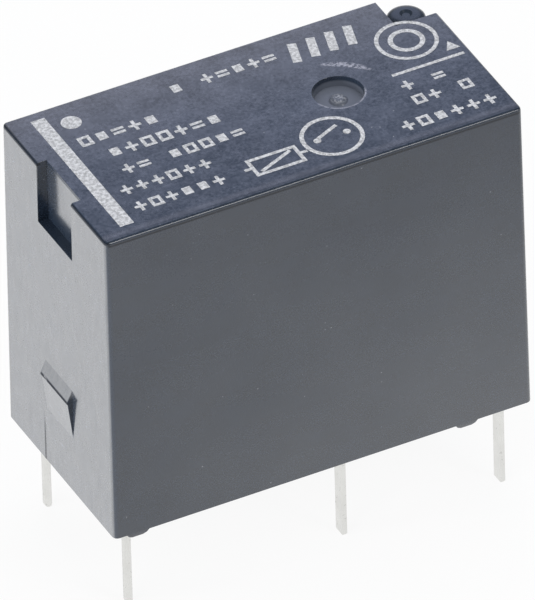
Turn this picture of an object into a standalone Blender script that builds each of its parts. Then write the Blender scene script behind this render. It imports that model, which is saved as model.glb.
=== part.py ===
# Sealed miniature power relay for a printed circuit board, one normally open contact.
# Metres, +Z up. The origin is on the plane that the pin tips stand on, under the middle of the case.
# X runs along the case from the coil end to the contact end, and Y across it from front to back.

import math

import bmesh
import bpy
from mathutils import Matrix, Vector

MM = 0.001

# Case
CASE_LENGTH = 20.0 * MM
CASE_WIDTH = 10.0 * MM
CASE_HEIGHT = 15.6 * MM
CASE_WALL = 0.5 * MM
CASE_DRAFT = 0.11 * MM
CASE_CORNER = 0.25 * MM
CASE_TOP_EDGE = 0.16 * MM
CAVITY_CORNER = 0.15 * MM

# Stand-off feet on the case's long rims
FOOT_HEIGHT = 0.3 * MM
FOOT_LENGTH = 1.05 * MM
FOOT_EDGE = 0.1 * MM
LEFT_FOOT_INSET = 1.15 * MM
RIGHT_FOOT_INSET = 3.12 * MM

# Open pocket in the top of the coil end
POCKET_WIDTH = 3.2 * MM
POCKET_HEIGHT = 3.05 * MM
POCKET_DEPTH = 0.48 * MM

# Snap bump at each end, with room inside for the base's lug
BUMP_WIDTH = 2.5 * MM
BUMP_REACH = 0.27 * MM
BUMP_STEP = 0.05 * MM
BUMP_CREST = 4.8 * MM
BUMP_RISE = 0.65 * MM
BUMP_FALL = 1.9 * MM

# Moulding gate recess in the top
GATE_INSET = 6.42 * MM
GATE_Y = -0.1 * MM
GATE_RADIUS = 1.08 * MM
GATE_DEPTH = 0.45 * MM
GATE_VESTIGE_RADIUS = 0.42 * MM
GATE_VESTIGE_HEIGHT = 0.16 * MM

# Corner notch with the vent nib, at the contact end's back corner
NOTCH_LENGTH = 2.0 * MM
NOTCH_WIDTH = 2.0 * MM
NOTCH_DEPTH = 1.1 * MM
NIB_RADIUS = 0.85 * MM
NIB_DROP = 0.3 * MM
NIB_DIMPLE_RADIUS = 0.28 * MM
NIB_DIMPLE_DEPTH = 0.12 * MM
NIB_INSET = 1.02 * MM

# Pins: the length below the feet, and how far in from the case's ends and sides they stand
PIN_LENGTH = 4.2 * MM
PIN_TIP_CHAMFER = 0.09 * MM
COIL_PIN_INSET = 1.11 * MM
COIL_PIN_SIDE_INSET = 1.19 * MM
COMMON_PIN_SPACE = 0.67 * MM
OPEN_PIN_INSET = 1.11 * MM
CONTACT_PIN_SIDE_INSET = 1.05 * MM
COIL_PIN_THICKNESS = 0.32 * MM
COIL_PIN_WIDTH = 0.46 * MM
COIL_PIN_POST = 0.95 * MM
CONTACT_PIN_WIDTH = 0.57 * MM
PIN_THICKNESS = 0.25 * MM
STRIP_THICKNESS = 0.3 * MM
STRIP_WIDTH = 1.1 * MM
TERMINAL_BEND = 0.2 * MM

# Clearances: between seated pieces, and beside pieces that move
SEAT = 0.05 * MM
RUNNING = 0.1 * MM

# Base moulding and its seal
RESIN_RECESS = 0.05 * MM
RESIN_THICKNESS = 0.3 * MM
BASE_THICKNESS = 1.6 * MM
BASE_CORNER = 0.3 * MM
TAB_WIDTH = 2.4 * MM
TAB_THICKNESS = 0.45 * MM
LUG_REACH = 0.2 * MM
RIB_THICKNESS = 0.5 * MM
RIB_HEIGHT = 1.0 * MM
BARRIER_SPACE = 2.3 * MM
BARRIER_THICKNESS = 0.6 * MM
BARRIER_ABOVE_CARD = 1.0 * MM

# Magnet iron
YOKE_THICKNESS = 1.1 * MM
YOKE_FACE_X = 0.6 * MM
YOKE_SIDE_SPACE = 1.3 * MM
YOKE_LEFT_INSET = 0.75 * MM
YOKE_BEND = 0.3 * MM
CORE_RADIUS = 1.5 * MM
CORE_STAKE_RADIUS = 1.1 * MM
CORE_HEAD_RADIUS = 2.8 * MM
CORE_HEAD_THICKNESS = 0.8 * MM

# Coil: it fills the room between the case's end and the yoke, up to the core's head
BOBBIN_END_INSET = 1.15 * MM
BOBBIN_SIDE_SPACE = 0.35 * MM
BOBBIN_YOKE_SPACE = 0.15 * MM
BOBBIN_CORNER = 0.6 * MM
BOBBIN_TUBE_WALL = 0.4 * MM
FLANGE_THICKNESS = 0.7 * MM
FLANGE_OVERHANG = 0.5 * MM
TAPE_THICKNESS = 0.1 * MM
TAPE_MARGIN = 0.7 * MM
EAR_LENGTH = 0.9 * MM
EAR_WIDTH = 1.0 * MM
EAR_HEIGHT = 1.6 * MM
LEAD_RADIUS = 0.06 * MM
LEAD_TURNS = 3

# Armature, a bell crank on the yoke's top edge
AIR_GAP = 0.36 * MM
ARMATURE_THICKNESS = 1.0 * MM
ARMATURE_SIDE_STEP = 0.2 * MM
ARMATURE_LEFT_INSET = 0.6 * MM
ARMATURE_HEAD_ROOM = 1.05 * MM
ARMATURE_BEND = 0.35 * MM
TAIL_LENGTH = 6.3 * MM
TAIL_OFFSET = 0.5 * MM
TAIL_SIDE_STEP = 0.6 * MM
TAIL_TIP_HALF_WIDTH = 1.0 * MM
TAIL_TIP_LENGTH = 1.4 * MM
TAIL_BAR = 1.0 * MM
WINDOW_HALF_WIDTH = 1.1 * MM
WINDOW_LEFT = 0.3 * MM

# Leaf that holds the armature on its edge
HINGE_LEAF_THICKNESS = 0.15 * MM
HINGE_LEAF_HALF_WIDTH = 0.8 * MM
HINGE_LEAF_LENGTH = 1.9 * MM
HINGE_LEAF_BEND = 0.2 * MM
HINGE_LEAF_FOOT = 0.95 * MM
HINGE_RIVET_ABOVE_BAR = 1.0 * MM
HINGE_RIVET_RADIUS = 0.4 * MM
HINGE_RIVET_HEAD_RADIUS = 0.7 * MM
HINGE_RIVET_HEAD = 0.3 * MM

# Card that carries the motion across the barrier
CARD_THICKNESS = 0.8 * MM
CARD_HALF_WIDTH = 2.2 * MM
CARD_TIP_OVERLAP = 1.2 * MM
CARD_ARM = 0.85 * MM
CARD_NOSE_LENGTH = 0.7 * MM
CARD_NOSE_WIDTH = 0.6 * MM
CARD_NOSE_Y = 0.85 * MM

# Contact spring and contacts
SPRING_END_INSET = 3.6 * MM
SPRING_THICKNESS = 0.12 * MM
SPRING_HALF_WIDTH = 1.5 * MM
SPRING_FOOT = 0.7 * MM
SPRING_RIVET_ABOVE_BASE = 1.05 * MM
SPRING_RIVET_Y = 0.8 * MM
SPRING_RIVET_RADIUS = 0.3 * MM
SPRING_RIVET_HEAD_RADIUS = 0.55 * MM
SPRING_RIVET_HEAD = 0.22 * MM
TAB_ABOVE_RIVETS = 0.8 * MM
CONTACT_BELOW_TOP = 5.05 * MM
CONTACT_RADIUS = 1.1 * MM
CONTACT_CROWN = 0.14 * MM
CONTACT_HEAD = 0.45 * MM
CONTACT_SHANK_RADIUS = 0.5 * MM
CONTACT_STAKE_RADIUS = 0.75 * MM
CONTACT_STAKE = 0.18 * MM
BLADE_HALF_WIDTH = 1.5 * MM
BLADE_ABOVE_CONTACT = 1.5 * MM
BLADE_FOOT_ABOVE_BASE = 1.2 * MM
BLADE_FOOT_HEIGHT = 1.5 * MM
SHEET_CORNER = 0.4 * MM

# Facets
ARC_STEPS = 5
ROUND_STEPS = 40
MERGE = 0.000001

# Levels, from the pin tips up
SEAT_Z = PIN_LENGTH
RIM_Z = SEAT_Z + FOOT_HEIGHT
TOP_Z = RIM_Z + CASE_HEIGHT
RESIN_Z = RIM_Z + RESIN_RECESS
BASE_Z = RESIN_Z + RESIN_THICKNESS + SEAT
BASE_TOP_Z = BASE_Z + BASE_THICKNESS
YOKE_Z = BASE_TOP_Z + SEAT
FLANGE_Z = YOKE_Z + YOKE_THICKNESS + SEAT
WINDING_Z = FLANGE_Z + FLANGE_THICKNESS + SEAT
IRON_TOP_Z = TOP_Z - CASE_WALL - ARMATURE_HEAD_ROOM - ARMATURE_THICKNESS
CORE_HEAD_Z = IRON_TOP_Z - CORE_HEAD_THICKNESS
UPPER_FLANGE_Z = CORE_HEAD_Z - SEAT - FLANGE_THICKNESS
WINDING_HEIGHT = UPPER_FLANGE_Z - SEAT - WINDING_Z
PIVOT_Z = IRON_TOP_Z + SEAT / 2.0
CONTACT_Z = TOP_Z - CONTACT_BELOW_TOP

# Room for the coil and the iron
BOBBIN_LEFT_X = -CASE_LENGTH / 2.0 + BOBBIN_END_INSET
BOBBIN_RIGHT_X = YOKE_FACE_X - YOKE_THICKNESS - BOBBIN_YOKE_SPACE
BOBBIN_HALF_LENGTH = (BOBBIN_RIGHT_X - BOBBIN_LEFT_X) / 2.0
BOBBIN_HALF_WIDTH = CASE_WIDTH / 2.0 - CASE_WALL - BOBBIN_SIDE_SPACE
WINDING_RADIUS = min(BOBBIN_HALF_LENGTH, BOBBIN_HALF_WIDTH) - FLANGE_OVERHANG
CORE_X = (BOBBIN_LEFT_X + BOBBIN_RIGHT_X) / 2.0
YOKE_LEFT_X = BOBBIN_LEFT_X + YOKE_LEFT_INSET
YOKE_HALF_WIDTH = CASE_WIDTH / 2.0 - CASE_WALL - YOKE_SIDE_SPACE
ARMATURE_HALF_WIDTH = YOKE_HALF_WIDTH - ARMATURE_SIDE_STEP
ARMATURE_LEFT_REACH = CORE_X - BOBBIN_LEFT_X - ARMATURE_LEFT_INSET
TAIL_HALF_WIDTH = ARMATURE_HALF_WIDTH - TAIL_SIDE_STEP
HINGE_RIVET_DROP = TAIL_LENGTH - TAIL_TIP_LENGTH - TAIL_BAR - HINGE_RIVET_ABOVE_BAR

# The armature's swing, and what it gives the card and the contact spring
OPEN_ANGLE = math.asin(AIR_GAP / (YOKE_FACE_X - CORE_X))
CARD_Z = PIVOT_Z - TAIL_LENGTH + (TAIL_TIP_LENGTH - CARD_TIP_OVERLAP) + SEAT
CARD_MIDDLE_Z = CARD_Z + CARD_THICKNESS / 2.0
CARD_DEPTH = PIVOT_Z - CARD_MIDDLE_Z
CARD_STROKE = CARD_DEPTH * math.sin(OPEN_ANGLE)
SPRING_RIVET_Z = BASE_TOP_Z + SPRING_RIVET_ABOVE_BASE
SPRING_ANGLE = math.asin(CARD_STROKE / (CARD_MIDDLE_Z - SPRING_RIVET_Z))
CONTACT_ABOVE_RIVETS = CONTACT_Z - SPRING_RIVET_Z
CONTACT_TRAVEL = CONTACT_ABOVE_RIVETS * math.sin(SPRING_ANGLE)

# Places along the contact end
BARRIER_X = YOKE_FACE_X + BARRIER_SPACE
SPRING_X = CASE_LENGTH / 2.0 - SPRING_END_INSET
SPRING_LEFT_X = SPRING_X - SPRING_THICKNESS / 2.0
SPRING_RIGHT_X = SPRING_X + SPRING_THICKNESS / 2.0
BLADE_X = SPRING_RIGHT_X + 2.0 * (SEAT + CONTACT_HEAD) + CONTACT_TRAVEL + RUNNING
TAB_X = SPRING_RIGHT_X + RUNNING

# Places of the pins, the feet and the gate
COIL_PIN_X = -CASE_LENGTH / 2.0 + COIL_PIN_INSET
COIL_PIN_PITCH = CASE_WIDTH - 2.0 * COIL_PIN_SIDE_INSET
COMMON_PIN_X = YOKE_FACE_X + COMMON_PIN_SPACE
OPEN_PIN_X = CASE_LENGTH / 2.0 - OPEN_PIN_INSET
CONTACT_PIN_Y = -CASE_WIDTH / 2.0 + CONTACT_PIN_SIDE_INSET
STRIP_FRONT_Y = CONTACT_PIN_Y - CONTACT_PIN_WIDTH / 2.0 + SEAT
LEFT_FOOT_X = -CASE_LENGTH / 2.0 + LEFT_FOOT_INSET
RIGHT_FOOT_X = CASE_LENGTH / 2.0 - RIGHT_FOOT_INSET
GATE_X = CASE_LENGTH / 2.0 - GATE_INSET

BLACK_PLASTIC = ("case plastic", (0.055, 0.058, 0.065), 0.42, 0.0)
BASE_PLASTIC = ("base plastic", (0.05, 0.052, 0.056), 0.5, 0.0)
SEAL = ("sealing resin", (0.03, 0.03, 0.032), 0.25, 0.0)
BOBBIN_PLASTIC = ("bobbin plastic", (0.62, 0.6, 0.52), 0.5, 0.0)
CARD_PLASTIC = ("card plastic", (0.7, 0.68, 0.62), 0.45, 0.0)
COPPER = ("enamelled copper", (0.55, 0.2, 0.08), 0.35, 1.0)
TAPE = ("coil tape", (0.75, 0.55, 0.1), 0.4, 0.0)
IRON = ("plated iron", (0.55, 0.55, 0.56), 0.35, 1.0)
BRONZE = ("spring bronze", (0.7, 0.5, 0.28), 0.3, 1.0)
TINNED = ("tinned copper alloy", (0.78, 0.78, 0.76), 0.28, 1.0)
SILVER = ("silver alloy", (0.85, 0.85, 0.84), 0.25, 1.0)
STEEL = ("rivet steel", (0.6, 0.6, 0.6), 0.35, 1.0)


def material(finish):
    """Return the material of one finish, made once."""
    name, colour, roughness, metallic = finish
    found = bpy.data.materials.get(name)
    if found:
        return found
    made = bpy.data.materials.new(name)
    made.use_nodes = True
    shader = made.node_tree.nodes["Principled BSDF"]
    shader.inputs["Base Color"].default_value = (*colour, 1.0)
    shader.inputs["Roughness"].default_value = roughness
    shader.inputs["Metallic"].default_value = metallic
    made.diffuse_color = (*colour, 1.0)
    return made


def place_object(name, mesh, group, finish=None):
    """Put a mesh in the scene under a name, in its collection."""
    made = bpy.data.objects.new(name, mesh)
    group.objects.link(made)
    if finish:
        mesh.materials.append(material(finish))
    else:
        made.hide_render = True
        made.display_type = "WIRE"
    return made


def box(name, low, high, group, finish=None):
    """Make a box from its lowest to its highest corner."""
    mesh = bpy.data.meshes.new(name)
    shape = bmesh.new()
    bmesh.ops.create_cube(shape, size=1.0)
    low, high = Vector(low), Vector(high)
    for vertex in shape.verts:
        for axis in range(3):
            vertex.co[axis] = low[axis] if vertex.co[axis] < 0.0 else high[axis]
    shape.to_mesh(mesh)
    shape.free()
    return place_object(name, mesh, group, finish)


def drafted_box(name, low_half, high_half, low_z, high_z, group, finish=None):
    """Make a block whose half length and half width go from one pair to another as it rises."""
    mesh = bpy.data.meshes.new(name)
    shape = bmesh.new()
    bmesh.ops.create_cube(shape, size=2.0)
    for vertex in shape.verts:
        half = high_half if vertex.co.z > 0.0 else low_half
        level = high_z if vertex.co.z > 0.0 else low_z
        vertex.co = (vertex.co.x * half[0], vertex.co.y * half[1], level)
    shape.to_mesh(mesh)
    shape.free()
    return place_object(name, mesh, group, finish)


def arc(centre, radius, start, end, steps=ARC_STEPS):
    """Points on an arc, angles in degrees."""
    points = []
    for step in range(steps + 1):
        angle = math.radians(start + (end - start) * step / steps)
        points.append((centre[0] + radius * math.cos(angle), centre[1] + radius * math.sin(angle)))
    return points


def fillet(before, corner, after, radius):
    """Points of the arc that rounds one corner of a path."""
    here = Vector(corner)
    back = (Vector(before) - here).normalized()
    ahead = (Vector(after) - here).normalized()
    half = back.angle(ahead) / 2.0
    inset = radius / math.tan(half)
    centre = here + (back + ahead).normalized() * (radius / math.sin(half))
    start = here + back * inset - centre
    end = here + ahead * inset - centre
    sweep = math.atan2(start.x * end.y - start.y * end.x, start.dot(end))
    points = []
    for step in range(ARC_STEPS + 1):
        turn = Matrix.Rotation(sweep * step / ARC_STEPS, 2)
        points.append(tuple(centre + turn @ start))
    return points


def rounded(corners, radius):
    """Close an outline with each of its corners rounded."""
    points = []
    count = len(corners)
    for index, corner in enumerate(corners):
        points += fillet(corners[index - 1], corner, corners[(index + 1) % count], radius)
    return points


def rectangle(low_u, high_u, low_v, high_v):
    """Corners of an upright rectangle, anticlockwise."""
    return [(low_u, low_v), (high_u, low_v), (high_u, high_v), (low_u, high_v)]


def bent_strip(path, thickness, bend):
    """Outline of sheet metal seen from its edge: a path of straight runs with rounded bends."""
    middle = [path[0]]
    for index in range(1, len(path) - 1):
        middle += fillet(path[index - 1], path[index], path[index + 1], bend + thickness / 2.0)
    middle.append(path[-1])
    sides = ([], [])
    last = len(middle) - 1
    for index, point in enumerate(middle):
        before = Vector(middle[max(index - 1, 0)])
        after = Vector(middle[min(index + 1, last)])
        run = (after - before).normalized()
        out = Vector((run.y, -run.x)) * thickness / 2.0
        sides[0].append(tuple(Vector(point) + out))
        sides[1].append(tuple(Vector(point) - out))
    return sides[0] + sides[1][::-1]


def plate(name, outline, low, high, axis, group, finish=None):
    """Extrude a flat outline from low to high along an axis.

    The outline's points are (y, z) along X, (x, z) along Y and (x, y) along Z.
    """
    curve = bpy.data.curves.new(name, "CURVE")
    curve.dimensions = "2D"
    curve.fill_mode = "BOTH"
    curve.extrude = (high - low) / 2.0
    spline = curve.splines.new("POLY")
    spline.points.add(len(outline) - 1)
    for point, place in zip(spline.points, outline):
        point.co = (place[0], place[1], 0.0, 1.0)
    spline.use_cyclic_u = True
    source = bpy.data.objects.new(name + " outline", curve)
    group.objects.link(source)
    bpy.context.view_layer.update()
    evaluated = source.evaluated_get(bpy.context.evaluated_depsgraph_get())
    mesh = bpy.data.meshes.new_from_object(evaluated)
    bpy.data.objects.remove(source)
    bpy.data.curves.remove(curve)
    shape = bmesh.new()
    shape.from_mesh(mesh)
    bmesh.ops.remove_doubles(shape, verts=shape.verts, dist=MERGE)
    turn = {
        "X": Matrix(((0, 0, 1), (1, 0, 0), (0, 1, 0))),
        "Y": Matrix(((1, 0, 0), (0, 0, -1), (0, 1, 0))),
        "Z": Matrix.Identity(3),
    }[axis]
    shift = Vector([(low + high) / 2.0 if name_of == axis else 0.0 for name_of in "XYZ"])
    for vertex in shape.verts:
        vertex.co = turn @ vertex.co + shift
    if shape.calc_volume(signed=True) < 0.0:
        bmesh.ops.reverse_faces(shape, faces=shape.faces)
    shape.to_mesh(mesh)
    shape.free()
    mesh.name = name
    return place_object(name, mesh, group, finish)


def turned(name, profile, place, axis, group, finish=None, closed=False):
    """Turn a profile of (radius, height) points, top to bottom, about an axis through a place."""
    mesh = bpy.data.meshes.new(name)
    points = [(radius, 0.0, height) for radius, height in profile]
    links = [(index, index + 1) for index in range(len(points) - 1)]
    if closed:
        links.append((len(points) - 1, 0))
    mesh.from_pydata(points, links, [])
    made = place_object(name, mesh, group, finish)
    made.location = place
    made.rotation_euler = {"Z": (0, 0, 0), "X": (0, math.radians(90), 0)}[axis]
    screw = made.modifiers.new("Turn", "SCREW")
    screw.axis = "Z"
    screw.angle = 2.0 * math.pi
    screw.steps = ROUND_STEPS
    screw.render_steps = ROUND_STEPS
    screw.use_merge_vertices = True
    screw.merge_threshold = MERGE
    screw.use_smooth_shade = True
    return made


def cylinder(name, radius, low, high, place, axis, group, finish=None):
    """A plain round bar along an axis, from low to high, as a turned profile."""
    shift = Vector([low if name_of == axis else 0.0 for name_of in "XYZ"])
    length = high - low
    profile = [(0.0, length), (radius, length), (radius, 0.0), (0.0, 0.0)]
    return turned(name, profile, Vector(place) + shift, axis, group, finish)


def boolean(target, tool, operation):
    """Cut a target with a tool, or join the tool to it."""
    modifier = target.modifiers.new(operation.title() + " " + tool.name, "BOOLEAN")
    modifier.operation = operation
    modifier.solver = "EXACT"
    modifier.object = tool
    return target


def cut(target, *tools):
    """Take tools away from a target."""
    for tool in tools:
        boolean(target, tool, "DIFFERENCE")


def join(target, *tools):
    """Add tools to a target."""
    for tool in tools:
        boolean(target, tool, "UNION")


def round_edges(target, width, chosen, segments=3):
    """Round the edges whose two ends both pass a test, by a weighted bevel."""
    mesh = target.data
    weights = mesh.attributes.new("bevel_weight_edge", "FLOAT", "EDGE")
    for edge in mesh.edges:
        ends = [mesh.vertices[index].co for index in edge.vertices]
        weights.data[edge.index].value = chosen(*ends)
    bevel = target.modifiers.new("Rounding", "BEVEL")
    bevel.limit_method = "WEIGHT"
    bevel.width = width
    bevel.segments = segments


def wall_shift(z):
    """How far the case's walls lean in at a height."""
    return CASE_DRAFT * (z - RIM_Z) / CASE_HEIGHT


def case_half_length(z):
    return CASE_LENGTH / 2.0 - wall_shift(z)


def case_half_width(z):
    return CASE_WIDTH / 2.0 - wall_shift(z)


def cavity_half_length(z):
    return case_half_length(z) - CASE_WALL


def cavity_half_width(z):
    return case_half_width(z) - CASE_WALL


def bump_outline(side, reach, root):
    """The snap bump seen from the front: a short slope up to its crest, and a long one below.

    The root is how far behind the wall's plane the outline starts, and is negative for a pocket.
    """
    crest = RIM_Z + BUMP_CREST
    top = crest + BUMP_RISE
    foot = crest - BUMP_FALL
    points = [
        (case_half_length(top) - root, top),
        (case_half_length(top), top),
        (case_half_length(crest) + reach, crest),
        (case_half_length(crest) + reach - BUMP_STEP, crest - BUMP_STEP / 2.0),
        (case_half_length(foot), foot),
        (case_half_length(foot) - root, foot),
    ]
    return [(side * x, z) for x, z in points]


def make_cover(parts, tools):
    """The moulded case."""
    low_half = (case_half_length(RIM_Z), case_half_width(RIM_Z))
    high_half = (case_half_length(TOP_Z), case_half_width(TOP_Z))
    cover = drafted_box("cover", low_half, high_half, RIM_Z, TOP_Z, parts, BLACK_PLASTIC)
    middle_z = (RIM_Z + TOP_Z) / 2.0

    def weight(first, second):
        if first.z > middle_z and second.z > middle_z:
            return CASE_TOP_EDGE / CASE_CORNER
        return 1.0 if (first.z > middle_z) != (second.z > middle_z) else 0.0

    round_edges(cover, CASE_CORNER, weight, segments=4)

    for side, end in ((-1, "coil end"), (1, "contact end")):
        root = CASE_WALL / 2.0
        bump = plate("bump " + end, bump_outline(side, BUMP_REACH, root),
                     -BUMP_WIDTH / 2.0, BUMP_WIDTH / 2.0, "Y", tools)
        join(cover, bump)

    for side, face in ((-1, "front"), (1, "back")):
        outer = side * (case_half_width(RIM_Z) - CASE_CORNER / 2.0)
        inner = side * (cavity_half_width(RIM_Z) + SEAT)
        for x, end in ((LEFT_FOOT_X, "left"), (RIGHT_FOOT_X, "right")):
            low = (x - FOOT_LENGTH / 2.0, min(outer, inner), SEAT_Z)
            high = (x + FOOT_LENGTH / 2.0, max(outer, inner), RIM_Z + CASE_WALL / 2.0)
            foot = box("foot " + face + " " + end, low, high, tools)
            round_edges(foot, FOOT_EDGE, lambda first, second: 1.0
                        if first.z < RIM_Z and second.z < RIM_Z else 0.0, segments=3)
            join(cover, foot)

    inner_top = TOP_Z - CASE_WALL
    below = RIM_Z - CASE_WALL
    cavity = drafted_box("cavity", (cavity_half_length(below), cavity_half_width(below)),
                         (cavity_half_length(inner_top), cavity_half_width(inner_top)),
                         below, inner_top, tools)
    round_edges(cavity, CAVITY_CORNER, lambda first, second: 1.0
                if (first.z > middle_z) or (second.z > middle_z) else 0.0, segments=2)
    cut(cover, cavity)

    for side, end in ((-1, "coil end"), (1, "contact end")):
        hollow = [(side * (abs(x) - CASE_WALL), z)
                  for x, z in bump_outline(1, BUMP_REACH, CASE_WALL / 2.0)]
        pocket = plate("bump pocket " + end, hollow,
                       -TAB_WIDTH / 2.0 - SEAT, TAB_WIDTH / 2.0 + SEAT, "Y", tools)
        cut(cover, pocket)

    pocket_low = TOP_Z - POCKET_HEIGHT
    end_x = case_half_length(TOP_Z)
    pad = box("pocket pad", (-end_x + CASE_WALL / 2.0, -POCKET_WIDTH / 2.0 - CASE_WALL, pocket_low - CASE_WALL),
              (-end_x + POCKET_DEPTH + CASE_WALL, POCKET_WIDTH / 2.0 + CASE_WALL, TOP_Z - CASE_WALL / 2.0), tools)
    join(cover, pad)
    pocket = box("end pocket", (-end_x - CASE_LENGTH, -POCKET_WIDTH / 2.0, pocket_low),
                 (-end_x + POCKET_DEPTH, POCKET_WIDTH / 2.0, TOP_Z + CASE_WALL), tools)
    cut(cover, pocket)

    boss = cylinder("gate boss", GATE_RADIUS + CASE_WALL, TOP_Z - GATE_DEPTH - CASE_WALL,
                    TOP_Z - CASE_WALL / 2.0, (GATE_X, GATE_Y, 0), "Z", tools)
    join(cover, boss)
    floor_z = TOP_Z - GATE_DEPTH
    recess = turned("gate recess", [
        (0.0, TOP_Z + CASE_WALL),
        (GATE_RADIUS + SEAT, TOP_Z + CASE_WALL),
        (GATE_RADIUS + SEAT, TOP_Z),
        (GATE_RADIUS - SEAT, floor_z),
        (GATE_VESTIGE_RADIUS, floor_z),
        (GATE_VESTIGE_RADIUS * 0.8, floor_z + GATE_VESTIGE_HEIGHT),
        (0.0, floor_z + GATE_VESTIGE_HEIGHT),
    ], (GATE_X, GATE_Y, 0), "Z", tools)
    cut(cover, recess)

    notch_x = end_x - NOTCH_LENGTH
    back_y = case_half_width(TOP_Z)
    notch_y = back_y - NOTCH_WIDTH
    notch_z = TOP_Z - NOTCH_DEPTH
    block = box("notch block", (notch_x - CASE_WALL, notch_y - CASE_WALL, notch_z - CASE_WALL),
                (end_x - CASE_WALL / 2.0, back_y - CASE_WALL / 2.0, TOP_Z - CASE_WALL / 2.0), tools)
    join(cover, block)
    notch = box("corner notch", (notch_x, notch_y, notch_z),
                (end_x + CASE_WALL, back_y + CASE_WALL, TOP_Z + CASE_WALL), tools)
    cut(cover, notch)
    nib_top = TOP_Z - NIB_DROP
    shoulder = nib_top - NIB_RADIUS * 0.35
    dome = [(NIB_RADIUS * math.sin(math.radians(angle)),
             shoulder + (nib_top - shoulder) * math.cos(math.radians(angle))) for angle in range(30, 91, 12)]
    nib = turned("vent nib", [
        (0.0, nib_top - NIB_DIMPLE_DEPTH),
        (NIB_DIMPLE_RADIUS * 0.6, nib_top - NIB_DIMPLE_DEPTH),
        (NIB_DIMPLE_RADIUS, nib_top - NIB_DIMPLE_DEPTH * 0.2),
    ] + dome + [
        (NIB_RADIUS, notch_z - CASE_WALL / 2.0),
        (0.0, notch_z - CASE_WALL / 2.0),
    ], (end_x - NIB_INSET, back_y - NIB_INSET, 0), "Z", tools)
    join(cover, nib)
    return cover


def pin_holes(low_z, high_z, prefix, tools):
    """Cutters for the four pins' holes."""
    holes = []
    for y, name in ((-COIL_PIN_PITCH / 2.0, "coil front"), (COIL_PIN_PITCH / 2.0, "coil back")):
        holes.append((COIL_PIN_X, y, COIL_PIN_THICKNESS, COIL_PIN_WIDTH, name))
    holes.append((COMMON_PIN_X, CONTACT_PIN_Y, PIN_THICKNESS, CONTACT_PIN_WIDTH, "common"))
    holes.append((OPEN_PIN_X, CONTACT_PIN_Y, PIN_THICKNESS, CONTACT_PIN_WIDTH, "open"))
    cutters = []
    for x, y, thickness, width, name in holes:
        half_x = thickness / 2.0 + SEAT
        half_y = width / 2.0 + SEAT
        cutters.append(box(prefix + " hole " + name, (x - half_x, y - half_y, low_z),
                           (x + half_x, y + half_y, high_z), tools))
    return cutters


def make_base(parts, tools):
    """The moulded base: plate, latch tabs, yoke ribs and the barrier that guides the card."""
    half_x = cavity_half_length(BASE_TOP_Z) - SEAT
    half_y = cavity_half_width(BASE_TOP_Z) - SEAT
    outline = rounded(rectangle(-half_x, half_x, -half_y, half_y), BASE_CORNER)
    base = plate("base", outline, BASE_Z, BASE_TOP_Z, "Z", parts, BASE_PLASTIC)

    crest = RIM_Z + BUMP_CREST
    top = crest + BUMP_RISE
    for side, end in ((-1, "coil end"), (1, "contact end")):
        face = cavity_half_length(top) - SEAT
        tab = [
            (face - TAB_THICKNESS, BASE_Z + BASE_THICKNESS / 2.0),
            (face, BASE_Z + BASE_THICKNESS / 2.0),
            (face, crest - BUMP_FALL / 2.0),
            (face + LUG_REACH, crest - SEAT),
            (face, top - SEAT),
            (face - TAB_THICKNESS, top - SEAT),
        ]
        join(base, plate("tab " + end, [(side * x, z) for x, z in tab],
                         -TAB_WIDTH / 2.0, TAB_WIDTH / 2.0, "Y", tools))

    for side, face in ((-1, "front"), (1, "back")):
        near = side * (YOKE_HALF_WIDTH + SEAT)
        far = near + side * RIB_THICKNESS
        low = (YOKE_LEFT_X + BASE_CORNER * 4.0, min(near, far), BASE_TOP_Z - BASE_THICKNESS / 2.0)
        high = (YOKE_FACE_X, max(near, far), BASE_TOP_Z + RIB_HEIGHT)
        join(base, box("rib " + face, low, high, tools))

    barrier_top = CARD_Z + CARD_THICKNESS + BARRIER_ABOVE_CARD
    barrier_half = cavity_half_width(barrier_top) - SEAT
    barrier = box("barrier", (BARRIER_X, -barrier_half, BASE_TOP_Z - BASE_THICKNESS / 2.0),
                  (BARRIER_X + BARRIER_THICKNESS, barrier_half, barrier_top), tools)
    guide = box("card guide", (BARRIER_X - CASE_WALL, -CARD_HALF_WIDTH - RUNNING / 2.0, CARD_Z - SEAT),
                (BARRIER_X + BARRIER_THICKNESS + CASE_WALL, CARD_HALF_WIDTH + RUNNING / 2.0,
                 barrier_top + CASE_WALL), tools)
    passage = box("strip passage", (BARRIER_X - CASE_WALL, -CASE_WIDTH, BASE_TOP_Z),
                  (BARRIER_X + BARRIER_THICKNESS + CASE_WALL, STRIP_FRONT_Y + STRIP_WIDTH + SEAT,
                   BASE_TOP_Z + SEAT + STRIP_THICKNESS + SEAT), tools)
    cut(barrier, guide, passage)
    join(base, barrier)
    cut(base, *pin_holes(BASE_Z - CASE_WALL, BASE_TOP_Z + RIB_HEIGHT / 2.0, "base", tools))
    return base


def make_resin(parts, tools):
    """The layer that seals the base to the case and the pins."""
    half_x = cavity_half_length(BASE_Z) - SEAT
    half_y = cavity_half_width(BASE_Z) - SEAT
    outline = rounded(rectangle(-half_x, half_x, -half_y, half_y), BASE_CORNER)
    resin = plate("sealing_resin", outline, RESIN_Z, RESIN_Z + RESIN_THICKNESS, "Z", parts, SEAL)
    cut(resin, *pin_holes(RESIN_Z - CASE_WALL, RESIN_Z + RESIN_THICKNESS + CASE_WALL, "resin", tools))


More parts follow.
